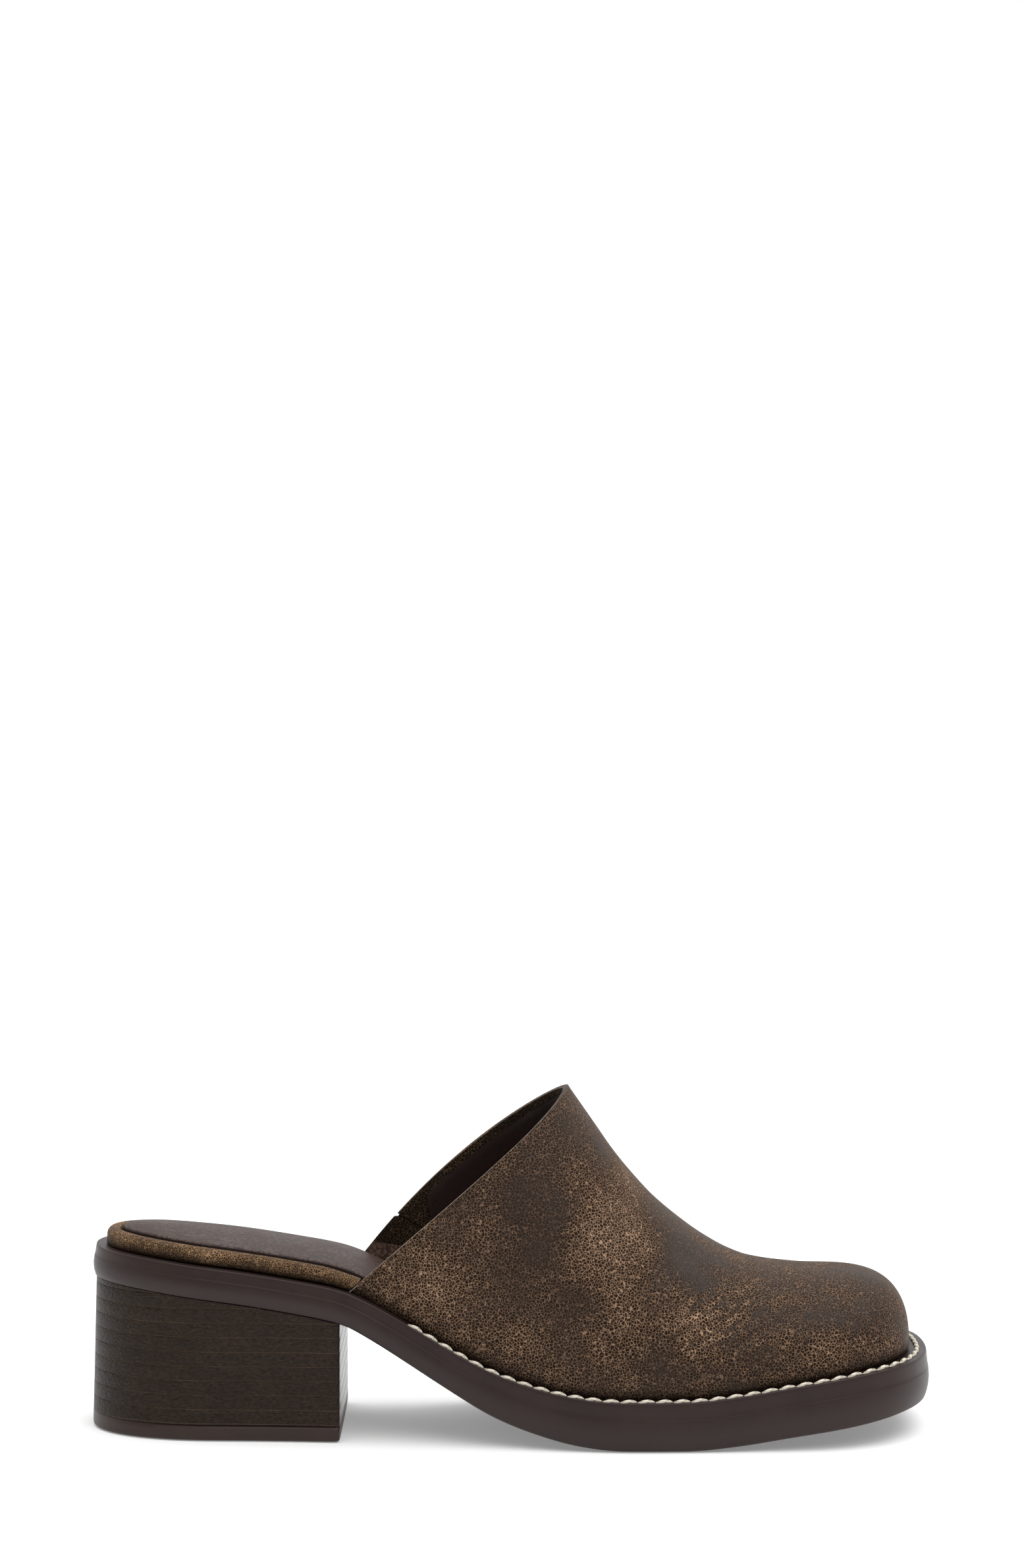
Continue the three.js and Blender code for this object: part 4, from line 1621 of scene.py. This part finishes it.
        def weigh(edge: bmesh.types.BMEdge) -> float:
            """How crisp an edge is kept.

            Args:
                edge: an edge between two faces.

            Returns:
                The weight of the ring that it lies on, or 0 if it lies on none.
            """
            start, end = (down[corner.index] for corner in edge.verts)
            level = abs(start - end) < self.level_reach
            if level and edge.calc_face_angle() > math.radians(self.flat_angle):
                return float(self.ring_weights.read(np.array((start + end) / 2)))
            return 0.0

        crease_edges(piece, weigh)


@dataclass
class Heel:
    """The stacked heel block, with its lifts' joints and its lacquered breast."""

    nodes: dict[str, bpy.types.Object]
    finishes: Finishes
    lift: float = 4.35
    groove: float = 0.10
    groove_width: float = 0.30
    upper_join: float = 0.11
    lower_join: float = 0.26
    crisp_angle: float = 50.0
    shading_angle: float = 40.0
    breast_facing: float = 0.9
    level_reach: float = 0.01

    def build(self) -> None:
        """Builds the block."""
        piece = node_copy(self.nodes, "heel_block", "stacked_heel")
        self.close_joins(piece)
        crisp(piece, self.crisp_angle, 1.0)
        subdivide(piece, 1)
        low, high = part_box("heel_block")
        level = low.z + self.lift * MM
        while level < high.z - MM:
            self.cut_joint(piece, level)
            level += self.lift * MM
        dress(piece, self.finishes.stack, self.finishes.breast)
        paint_faces(piece, 1, lambda face: face.normal.x > self.breast_facing)
        smooth(piece, self.shading_angle)
        settle(piece, ["heel_block"])

    def close_joins(self, piece: bpy.types.Object) -> None:
        """Brings the block's two ends up to the rubber, so that no dark gap shows.

        Args:
            piece: the block.
        """
        points = points_of(piece)
        low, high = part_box("heel_block")
        upper = points[:, 2] > (low.z + high.z) / 2
        points[:, 2] += np.where(upper, self.upper_join, -self.lower_join) * MM
        move_points(piece, points)

    def cut_joint(self, piece: bpy.types.Object, level: float) -> None:
        """Sinks a fine level groove into the block's side.

        Args:
            piece: the block.
            level: the joint's height, in metres.
        """
        for offset in (-1, 0, 1):
            height = level + offset * self.groove_width * MM / 2
            plane = {"plane_co": (0, 0, height), "plane_no": (0, 0, 1)}
            edit_all(piece, bpy.ops.mesh.bisect, **plane)
        points = points_of(piece)
        low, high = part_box("heel_block")
        middle = np.array([(low.x + high.x) / 2, (low.y + high.y) / 2])
        line = np.abs(points[:, 2] - level) < self.level_reach * MM
        points[line, :2] -= unit(points[line, :2] - middle) * self.groove * MM
        move_points(piece, points)


@dataclass
class Footbed:
    """The wrapped footbed and the sock on it."""

    nodes: dict[str, bpy.types.Object]
    finishes: Finishes
    place: Place
    sole: SoleShape = field(default_factory=SoleShape)
    smoothness: int = 2
    rim_angle: float = 50.0
    rim_crispness: float = 0.8
    # How high over the outsole the wrap's painted shade reaches.
    foot_shade_start: float = 0.6
    foot_shade_height: float = 4.0
    sock_angle: float = 60.0
    sock_crispness: float = 0.6
    sock_puff: float = 1.25
    puff_start: float = 0.2
    puff_end: float = 1.2
    sock_fill: float = 0.9
    # Side faces below this facing take the dark lining leather, partly painted shade.
    painted_shade_edge_facing: float = 0.5

    def build(self) -> None:
        """Builds both pieces."""
        self.build_wrap()
        self.build_sock()

    def build_wrap(self) -> None:
        """The footbed's board, with the crackle leather wrapped round its rim."""
        piece = node_copy(self.nodes, "footbed", "wrapped_footbed")
        crisp(piece, self.rim_angle, self.rim_crispness)
        subdivide(piece, self.smoothness)
        dress(piece, self.finishes.wrap)
        points = self.place.millimetres(points_of(piece))
        above = points[:, 2] - self.sole.top(points[:, 0])
        # Painted shade: the wrap darkens over its lowest few millimetres, where it curves under.
        burnish = 1 - soft_step(self.foot_shade_start, self.foot_shade_height, above)
        give_attribute(piece, "burnish", burnish)
        smooth(piece, self.rim_angle)
        settle(piece, ["footbed"])

    def build_sock(self) -> None:
        """The padded sock. Its side faces take the dark lining leather: the cut edge's own dark colour,
        and painted shade for the gap under its edge.
        """
        piece = node_copy(self.nodes, "insole_sock", "leather_sock")
        crisp(piece, self.sock_angle, self.sock_crispness)
        subdivide(piece, self.smoothness)
        self.puff(piece)
        dress(piece, self.finishes.sock, self.finishes.lining)
        # Painted shade: the steep side faces take the dark lining leather, which also stands for the
        # shadow in the gap under the sock's edge.
        paint_faces(piece, 1, lambda face: face.normal.z < self.painted_shade_edge_facing)
        smooth(piece, self.sock_angle)
        settle(piece, ["insole_sock"])

    def puff(self, sock: bpy.types.Object) -> None:
        """Fills the sock out, so that its edge stands just proud of the rim.

        Args:
            sock: the sock.
        """
        points = self.place.millimetres(points_of(sock))
        above = points[:, 2] - self.sole.top(points[:, 0])
        low = above.min()
        rise = soft_step(low + self.puff_start, low + self.puff_end, above)
        points[:, 2] += self.sock_puff * rise
        move_points(sock, self.place.metres(points))


@dataclass(frozen=True)
class Patch:
    """A soft cloud on the vamp, seen from the side: below 0 it is polished, above 0 worn open."""

    x: float
    z: float
    wide: float
    high: float
    lean: float
    strength: float


@dataclass
class Vamp:
    """The lasted leather over the foot, with its lining, facing and gusset."""

    place: Place
    finishes: Finishes
    last: LastShape = field(default_factory=LastShape)
    wedge: WedgeShape = field(default_factory=WedgeShape)
    inside: Sequence[float] = (180.0, 0.0, 20.0)
    outside: Sequence[float] = (100.0, 200.0, 60.0)
    rows: int = 130
    columns: int = 150
    wall: float = 2.0
    edge_rounding: float = 0.75
    shading_angle: float = 45.0
    cutter_reach: Sequence[float] = (2.0, 90.0)
    facing_low: float = 2.5
    facing_peak: float = 1.5
    facing_turn: float = 60.0
    lining_depth: float = 1.85
    lining_thickness: float = 0.65
    lining_rounding: float = 0.25
    lining_behind_seam: float = 0.9
    lining_rear: float = 102.0
    lining_rear_height: float = 66.6
    lining_rear_lean: float = 0.2
    wedge_rows: int = 24
    wedge_columns: int = 14
    wedge_crowding: float = 0.9
    gusset_depth: float = 0.35
    gusset_thickness: float = 1.45
    gusset_rounding: float = 0.2
    gusset_gap: float = 0.35
    low_seam_closing: float = 0.2
    tape_overlap: float = 1.2
    tape_depth: float = 0.9
    tape_start: float = 0.7
    tape_thickness: float = 0.3
    # How high over the sole the vamp's painted shade reaches.
    foot_shade_height: float = 5.0
    # The bead: a fine pale tube along the topline's fold, a painted highlight.
    bead_radius: float = 0.2
    bead_setback: float = 0.1
    bead_inward: float = 0.42
    hidden_bead_setback: float = 0.24
    bead_near_end: float = 70.0
    bead_far_start: float = 110.0
    bead_sides: int = 6
    bead_crispness: float = 80.0
    patches: Sequence[Patch] = (
        Patch(x=131, z=73, wide=8, high=15, lean=-15, strength=-0.36),
        Patch(x=142, z=88, wide=8, high=13, lean=25, strength=-0.3),
        Patch(x=150, z=42, wide=8, high=17, lean=-30, strength=-0.3),
        Patch(x=139, z=62, wide=7, high=13, lean=-10, strength=-0.35),
        Patch(x=163, z=78, wide=6, high=11, lean=-40, strength=0.25),
        Patch(x=180, z=56, wide=14, high=5, lean=-48, strength=-0.42),
        Patch(x=190, z=45, wide=13, high=5, lean=-30, strength=-0.4),
        Patch(x=222, z=38, wide=14, high=3, lean=-8, strength=-0.45),
        Patch(x=204, z=27, wide=5, high=4, lean=0, strength=-0.45),
        Patch(x=176, z=26, wide=10, high=7, lean=15, strength=-0.5),
        Patch(x=112, z=60, wide=13, high=15, lean=30, strength=0.2),
        Patch(x=108, z=45, wide=14, high=6, lean=-25, strength=0.3),
        Patch(x=185, z=36, wide=13, high=6, lean=35, strength=0.75),
        Patch(x=159, z=62, wide=12, high=14, lean=-30, strength=0.7),
        Patch(x=148, z=28, wide=14, high=6, lean=20, strength=0.25),
        Patch(x=228, z=30, wide=16, high=6, lean=0, strength=0.3),
    )
    flexes: Sequence[Patch] = (
        Patch(x=188, z=38, wide=17, high=9, lean=0, strength=1.0),
        Patch(x=96, z=46, wide=12, high=6, lean=0, strength=0.5),
        Patch(x=236, z=30, wide=8, high=9, lean=0, strength=0.5),
    )

    def build(self) -> None:
        """Builds the leather pieces of the upper."""
        self.build_leather()
        self.build_topline_highlight()
        self.build_lining()
        self.build_gusset()
        self.build_seam_tape()

    def wear(self, piece: bpy.types.Object) -> None:
        """Stores where the leather is polished, worn open and flexed, and the painted shade that darkens
        it towards the sole.

        Args:
            piece: the vamp or the gusset.
        """
        points = self.place.millimetres(points_of(piece))
        above = points[:, 2] - self.last.sole.top(points[:, 0])
        give_attribute(piece, "flexed", self.clouds(points, self.flexes))
        give_attribute(piece, "worn", self.clouds(points, self.patches))
        # Painted shade: the vamp darkens towards the sole, where it meets the welt.
        give_attribute(piece, "burnish", 1 - soft_step(0, self.foot_shade_height, above))

    def clouds(self, points: np.ndarray, patches: Sequence[Patch]) -> np.ndarray:
        """How strong a set of patches is.

        Args:
            points: where, in millimetres.
            patches: the set.

        Returns:
            Their sum at each point.
        """
        strength = np.zeros(len(points))
        for patch in patches:
            lean = math.radians(patch.lean)
            dx = points[:, 0] - patch.x
            dz = points[:, 2] - patch.z
            along = (dx * math.cos(lean) + dz * math.sin(lean)) / patch.wide
            across = (dz * math.cos(lean) - dx * math.sin(lean)) / patch.high
            strength += patch.strength * np.exp(-(along**2 + across**2))
        return strength

    def sheet(self, name: str, grid: np.ndarray, facing: Sequence[float]) -> bpy.types.Object:
        """A sheet of leather on the last, before it has its thickness.

        Args:
            name: the piece's name.
            grid: its points in millimetres, by row and column.
            facing: a place in millimetres that its faces look towards.

        Returns:
            The piece.
        """
        return grid_piece(name, self.place.metres(grid), self.place.metres(facing))

    def build_leather(self) -> None:
        """The vamp: a shell as thick as its wall, with a cut edge and the gusset's slot."""
        starts = self.last.start(np.linspace(0, 180, self.columns + 1), 0.0)
        grid = self.last.face(self.rows, self.columns, starts, 0.0)
        piece = self.sheet("crackle_vamp", grid, self.inside)
        edit_all(piece, bpy.ops.mesh.flip_normals)
        # The inner shell takes the darker facing leather, painted shade inside the topline.
        dress(piece, self.finishes.crackle, self.finishes.facing, self.finishes.tab)
        apply(piece, "SOLIDIFY", thickness=self.wall * MM, offset=-1.0, material_offset=1)
        round_edges(piece, self.edge_rounding, 3)
        # The slot's cut faces take the darker facing leather, painted shade.
        self.cut_wedge(piece, 0.0, self.finishes.facing)
        self.wear(piece)
        paint_faces(piece, 2, lambda face: face.material_index == 1 and self.on_tab(face))
        smooth(piece, self.shading_angle)
        settle(piece, ["upper"])

    def build_topline_highlight(self) -> None:
        """A fine pale tube along the fold of the topline, whose colour paints the highlight on the
        fold's edge.
        """
        angles = np.linspace(0, 180, 2 * self.columns + 1)
        starts = self.last.start(angles, 0.0)
        edge = self.last.point(starts, angles)
        inner = self.last.face(2, 2 * self.columns, starts, self.wall, tucked=False)[0]
        along = unit(self.last.point(starts + 1.0, angles) - edge)
        inward = unit(inner - edge)
        hidden = soft_step(self.bead_near_end, self.bead_far_start, angles)[:, None]
        setback = mix(self.bead_setback, self.hidden_bead_setback, hidden)
        depth = mix(self.bead_inward, self.hidden_bead_setback, hidden)
        middle = edge + along * setback + inward * depth
        turns = np.linspace(0, 2 * np.pi, self.bead_sides + 1)[:, None, None]
        grid = middle + (np.cos(turns) * along + np.sin(turns) * inward) * self.bead_radius
        whole = ~self.over_slot(edge) | (angles < 90)
        above_slot = whole & (angles < angles[~whole].max())
        piece = self.sheet("topline_highlight_bead", grid[:, above_slot], self.inside)
        # The pale bead paints the highlight on the topline's folded edge.
        dress(piece, self.finishes.edge)
        smooth(piece, self.bead_crispness)
        settle(piece)

    def on_tab(self, face: bpy.types.MeshPolygon) -> bool:
        """Whether a face lies on the tab under the gusset, which has a smooth lining of its own.

        Args:
            face: a face of the vamp.

        Returns:
            True for a face on the medial side, behind the lining and below the wedge.
        """
        point = self.place.millimetres(np.array(face.center))
        along, into = self.wedge.reading(point[0], point[2])
        below = along < self.wedge.edges(into, 0.0)[0]
        return point[1] > 0 and self.behind_lining(point) and below

    def over_slot(self, points: np.ndarray) -> np.ndarray:
        """Whether points of the topline lie over the gusset's slot, seen from the side.

        Args:
            points: the points, in millimetres.

        Returns:
            True or false for each.
        """
        along, into = self.wedge.reading(points[..., 0], points[..., 2])
        low, high = self.wedge.edges(into, self.bead_radius)
        return (along > low) & (along < high)

    def cut_wedge(
        self, piece: bpy.types.Object, margin: float, finish: bpy.types.Material
    ) -> None:
        """Cuts the wedge's outline out of the medial side.

        Args:
            piece: the piece to cut.
            margin: how much wider than the wedge the cut is.
            finish: the material of the cut's faces.
        """
        cutter = self.prism(margin)
        dress(cutter, finish)
        apply(piece, "BOOLEAN", object=cutter, operation="DIFFERENCE", solver="EXACT")
        bpy.data.objects.remove(cutter)

    def prism(self, margin: float) -> bpy.types.Object:
        """A prism of the wedge's outline over the medial side, to cut with.

        Args:
            margin: how much wider than the wedge it is.

        Returns:
            The prism.
        """
        outline = self.wedge.outline(margin)
        ends = [[(x, y, z) for x, z in outline] for y in self.cutter_reach]
        points = self.place.metres(np.array(ends[0] + ends[1]))
        count = len(outline)
        around = [(i, (i + 1) % count, (i + 1) % count + count, i + count) for i in range(count)]
        caps = [tuple(range(count)), tuple(range(2 * count - 1, count - 1, -1))]
        mesh = bpy.data.meshes.new("wedge_cutter")
        mesh.from_pydata([tuple(point) for point in points], [], [*around, *caps])
        prism = bpy.data.objects.new("wedge_cutter", mesh)
        bpy.context.scene.collection.objects.link(prism)
        edit_all(prism, bpy.ops.mesh.normals_make_consistent, inside=False)
        return prism

    def build_lining(self) -> None:
        """The lining, which stops short of the topline and leaves a facing of crackle leather."""
        angles = np.linspace(0, 180, self.columns + 1)
        turn = np.abs(angles - 90) / self.facing_turn
        facing = mix(self.facing_peak, self.facing_low, turn)
        starts = self.last.start(angles, np.minimum(facing, self.facing_low))
        behind = first_pass(
            np.full(angles.shape, self.last.topline_start),
            np.full(angles.shape, self.last.tip),
            lambda x: self.behind_lining(self.last.point(x, angles)),
        )
        starts = np.where(angles > 90, np.maximum(starts, behind), starts)
        grid = self.last.face(self.rows, self.columns, starts, self.lining_depth, tucked=False)
        piece = self.sheet("vamp_lining", grid, self.inside)
        dress(piece, self.finishes.lining)
        apply(piece, "SOLIDIFY", thickness=self.lining_thickness * MM, offset=1.0)
        round_edges(piece, self.lining_rounding, 2)
        self.cut_wedge(piece, self.lining_behind_seam, self.finishes.lining)
        smooth(piece, self.shading_angle)
        settle(piece)

    def behind_lining(self, points: np.ndarray) -> np.ndarray:
        """Whether points lie behind the lining's rear edge, by the gusset."""
        fall = self.lining_rear_height - points[..., 2]
        return points[..., 0] < self.lining_rear + self.lining_rear_lean * fall

    def wedge_grid(self, margin: float, depth: float, from_into: float | None) -> np.ndarray:
        """The wedge's face on the last.

        Args:
            margin: how far it runs past the slot's edge.
            depth: how far it lies below the vamp's outer face.
            from_into: how far inside the topline it starts, or None for the topline with its notch.

        Returns:
            Its points in millimetres, by row and column.
        """
        reach = self.wedge.bottom + self.wedge.tip_radius + margin
        points = np.zeros((self.wedge_rows + 1, self.wedge_columns + 1, 3))
        for column in range(self.wedge_columns + 1):
            share = column / self.wedge_columns
            start = self.wedge.topline_into(share, margin) + (from_into or 0.0)
            for row in range(self.wedge_rows + 1):
                into = mix(start, reach, (row / self.wedge_rows) ** self.wedge_crowding)
                notch = 0.0
                if from_into is None:
                    notch = self.wedge.notch * max(0.0, 1 - (into - start) / self.wedge.notch)
                x, z = self.wedge_place(share, into, margin, notch)
                points[row, column] = (x, 0.0, z)
        points[..., 1] = self.last.medial_y(points[..., 0], points[..., 2]) - depth
        return points

    def wedge_place(
        self, share: float, into: float, margin: float, notch: float
    ) -> tuple[float, float]:
        """A place between the wedge's seams, which close in a round end.

        Args:
            share: where across the wedge's width, from its lower seam.
            into: how far into the vamp.
            margin: how far it runs past the slot's edge.
            notch: how far its upper edge is cut back.

        Returns:
            Its X and Z.
        """
        low, high = self.wedge.edges(min(into, self.wedge.bottom), margin)
        low = low - self.low_seam_closing
        past = max(0.0, into - self.wedge.bottom) / (self.wedge.tip_radius + margin)
        narrow = math.sqrt(max(0.0, 1 - past**2))
        middle = (low + high) / 2
        along = middle + (mix(low, high - notch, share) - middle) * narrow
        return self.wedge.place(along, into)

    def build_gusset(self) -> None:
        """The leather wedge in the medial side, cut back by a small notch at the topline."""
        grid = self.wedge_grid(-self.gusset_gap, self.gusset_depth, None)
        piece = self.sheet("crackle_gusset", grid, self.outside)
        # The gusset's inner shell and rim take the darker facing leather, painted shade.
        dress(piece, self.finishes.crackle, self.finishes.facing)
        wall = {"thickness": self.gusset_thickness * MM, "offset": -1.0}
        apply(piece, "SOLIDIFY", material_offset=1, material_offset_rim=1, **wall)
        round_edges(piece, self.gusset_rounding, 2)
        self.wear(piece)
        smooth(piece, self.shading_angle)
        settle(piece, ["side_gusset"])

    def build_seam_tape(self) -> None:
        """The dark tape inside the gusset's seams, which closes them to the light."""
        grid = self.wedge_grid(self.tape_overlap, self.tape_depth, self.tape_start)
        piece = self.sheet("gusset_seam_tape", grid, self.outside)
        dress(piece, self.finishes.lining)
        apply(piece, "SOLIDIFY", thickness=self.tape_thickness * MM, offset=-1.0)
        smooth(piece, self.shading_angle)
        settle(piece)


@dataclass
class WeltStitches:
    """The row of thread that joins the vamp to the sole's ledge, from waist to waist round the toe."""

    place: Place
    finishes: Finishes
    sole: SoleShape = field(default_factory=SoleShape)
    line: Inset = Inset(2.6, 2.45, 4.1)
    samples: int = 500
    start: float = 97.6
    pitch: float = 5.3
    length: float = 5.5
    width: float = 1.4
    height: float = 1.25
    arch: float = 0.4
    cant: float = 0.2
    sway: float = 0.16
    end_taper: float = 2.2
    plumpness: float = 0.65
    sunk: float = 0.1
    sides: int = 10
    rings: int = 9
    shading_angle: float = 80.0

    def path(self) -> np.ndarray:
        """The line that the row follows.

        Returns:
            Points along it, in millimetres, at a fine spacing.
        """
        tip = self.sole.length - self.line.toe
        xs = mix(self.start, tip, np.sin(np.linspace(0, np.pi / 2, self.samples)))
        sides = []
        for side in Side:
            ys = self.sole.outline(side, xs, self.line)
            sides.append(np.stack([xs, ys, self.sole.top(xs)], axis=1))
        return np.vstack([sides[0], sides[1][::-1][1:]])

    def stitch(self) -> bpy.types.Object:
        """One stitch: a puffed grain that dips into its two holes.

        Returns:
            The stitch, at the origin and along X.
        """
        bpy.ops.mesh.primitive_uv_sphere_add(
            segments=self.sides, ring_count=self.rings, radius=1.0, rotation=(0, math.pi / 2, 0)
        )
        piece = bpy.context.active_object
        only(piece)
        bpy.ops.object.transform_apply(location=False, rotation=True, scale=False)
        points = points_of(piece)
        along = points[:, 0].copy()
        around = np.arctan2(points[:, 2], points[:, 1]) / (2 * np.pi)
        plump = (1 - np.abs(along) ** self.end_taper) ** self.plumpness
        across = unit(points[:, 1:]) * plump[:, None]
        points[:, 0] = along * self.length / 2
        points[:, 1] = across[:, 0] * self.width / 2 + self.sway * np.sin(np.pi * along)
        rise = self.arch * (1 - along**2) + self.cant * along
        points[:, 2] = across[:, 1] * self.height / 2 + rise
        move_points(piece, points * MM)
        give_attribute(piece, "thread_along", along * self.length / 2)
        give_attribute(piece, "thread_around", around)
        return piece

    def lay(self, stitch: bpy.types.Object, start: np.ndarray, end: np.ndarray) -> bpy.types.Object:
        """Lays a copy of the stitch on the ledge, on the slope that it has there.

        Args:
            stitch: the stitch to copy.
            start: where its first hole is, in millimetres.
            end: where its second hole is.

        Returns:
            The copy, with its own mesh.
        """
        copy = stitch.copy()
        copy.data = stitch.data.copy()
        bpy.context.scene.collection.objects.link(copy)
        along = Vector(end - start).normalized()
        across = Vector((0, 0, 1)).cross(along).normalized()
        up = along.cross(across)
        middle = Vector(self.place.metres((start + end) / 2)) + up * -self.sunk * MM
        turn = Matrix((along, across, up)).transposed().to_4x4()
        copy.data.transform(Matrix.Translation(middle) @ turn)
        return copy

    def build(self) -> None:
        """Lays the stitches along the ledge and joins them to one piece."""
        path = self.path()
        steps = np.linalg.norm(np.diff(path, axis=0), axis=1)
        run = np.concatenate([[0.0], np.cumsum(steps)])
        count = int(run[-1] // self.pitch)
        holes = np.arange(count + 1) * self.pitch
        places = np.stack([np.interp(holes, run, path[:, axis]) for axis in range(3)], axis=1)
        first = self.stitch()
        laid = [self.lay(first, *places[i : i + 2]) for i in range(count)]
        bpy.data.objects.remove(first)
        only(laid[0])
        for copy in laid:
            copy.select_set(True)
        bpy.ops.object.join()
        piece = laid[0]
        piece.name = "welt_stitches"
        piece.data.name = "welt_stitches"
        dress(piece, self.finishes.thread)
        smooth(piece, self.shading_angle)
        settle(piece)


@dataclass
class Studio:
    """The white table, the soft lights and the camera."""

    camera_distance: float = 1.2
    camera_height: float = 0.255
    camera_tilt: float = 2.776
    camera_middle: float = 128.8
    lens: float = 90.0
    sensor_width: float = 36.0
    nearest: float = 0.05
    ceiling_height: float = 2.0
    ceiling_angle: float = 60.0
    ceiling_lean: float = 14.0
    ceiling_strength: float = 1.45
    box_place: Sequence[float] = (0.45, -1.1, 1.2)
    box_target: Sequence[float] = (0.0, 0.0, 0.05)
    box_size: float = 0.9
    box_power: float = 6.0
    table_size: float = 8.0
    table_drop: float = 0.0002
    table_mottle: float = 3.0
    table_tones: Sequence[str] = ("#f4f4f4", "#f6f6f6")
    table_roughness: float = 0.9
    table_specular: float = 0.1
    table_glow: float = 0.22

    def build(self, place: Place) -> None:
        """Makes the table, the lights and the camera.

        Args:
            place: where the frame's origin lies.
        """
        self.build_table()
        self.build_world()
        self.add_ceiling()
        self.add_front_box()
        self.add_camera(place)
        bpy.context.scene.view_settings.view_transform = "Standard"

    def add_camera(self, place: Place) -> None:
        """The photograph's camera, straight across the shoe.

        Args:
            place: where the frame's origin lies.
        """
        tilt = math.radians(90 - self.camera_tilt)
        x = (self.camera_middle - place.x) * MM
        location = (x, -self.camera_distance - place.y * MM, self.camera_height)
        bpy.ops.object.camera_add(location=location, rotation=(tilt, 0, 0))
        camera = bpy.context.active_object
        camera.name = "photo_camera"
        camera.data.lens = self.lens
        camera.data.sensor_width = self.sensor_width
        camera.data.clip_start = self.nearest
        bpy.context.scene.camera = camera

    def build_table(self) -> None:
        """A wide matt white table top of back-lit acrylic, which softens the shadows on it."""
        height = -self.table_drop
        bpy.ops.mesh.primitive_plane_add(size=self.table_size, location=(0, 0, height))
        table = bpy.context.active_object
        table.name = "white_table"
        material, tree, coordinates = new_material("white_table")
        look = {"Vector": coordinates, "Scale": self.table_mottle}
        mottle = put(tree, "TexNoise", look).outputs["Fac"]
        dark, light = (linear(tone) for tone in self.table_tones)
        tone = put(tree, "Mix", {0: mottle, 6: dark, 7: light}, data_type="RGBA").outputs[2]
        looks = {
            "Base Color": tone,
            "Roughness": self.table_roughness,
            "Specular IOR Level": self.table_specular,
            "Emission Color": (1, 1, 1, 1),
            "Emission Strength": self.table_glow,
        }
        put(tree, "OutputMaterial", {0: put(tree, "BsdfPrincipled", looks).outputs[0]})
        dress(table, material)

    def build_world(self) -> None:
        """White all round to the eye, and as light stronger from above and behind than in front."""
        world = bpy.data.worlds.new("white_studio")
        bpy.context.scene.world = world
        world.use_nodes = True
        tree = world.node_tree
        tree.nodes.clear()
        white = (1, 1, 1, 1)
        parts = put(tree, "SeparateXYZ", {0: put(tree, "TexCoord").outputs["Generated"]}).outputs
        back = put(tree, "MapRange", {0: parts[1], **span(-0.75, 0.35, 0.15, 1.0)}).outputs[0]
        above = put(tree, "MapRange", {0: parts[2], **span(0.2, 0.8, 0.0, 0.8)}).outputs[0]
        light = put(tree, "Math", {0: back, 1: above}, operation="MAXIMUM").outputs[0]
        lit = put(tree, "Background", {0: white, 1: light}).outputs[0]
        plain = put(tree, "Background", {0: white, 1: 1.0}).outputs[0]
        seen = put(tree, "LightPath").outputs["Is Camera Ray"]
        both = put(tree, "MixShader", {0: seen, 1: lit, 2: plain}).outputs[0]
        put(tree, "OutputWorld", {0: both})

    def add_ceiling(self) -> None:
        """A wide, very soft light from above, even over the whole table."""
        bpy.ops.object.light_add(type="SUN", location=(0, 0, self.ceiling_height))
        light = bpy.context.active_object
        light.name = "ceiling_light"
        light.data.angle = math.radians(self.ceiling_angle)
        light.rotation_euler = (0.0, math.radians(self.ceiling_lean), 0.0)
        light.data.energy = self.ceiling_strength

    def add_front_box(self) -> None:
        """A square soft box in front of the toe, which looks at the shoe."""
        bpy.ops.object.light_add(type="AREA", location=self.box_place)
        light = bpy.context.active_object
        light.name = "front_box"
        light.data.size = self.box_size
        light.data.energy = self.box_power
        way = Vector(self.box_target) - Vector(self.box_place)
        light.rotation_euler = way.to_track_quat("-Z", "Y").to_euler()


def main() -> None:
    """Builds the shoe's pieces in the order that a maker would, then the studio."""
    logging.basicConfig(level=logging.INFO, format="%(message)s")
    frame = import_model()
    place = Place(SoleShape())
    finishes = Finishes()
    Outsole(frame["nodes"], finishes, place).build()
    Heel(frame["nodes"], finishes).build()
    Footbed(frame["nodes"], finishes, place).build()
    Vamp(place, finishes).build()
    WeltStitches(place, finishes).build()
    Studio().build(place)


if __name__ == "__main__":
    main()
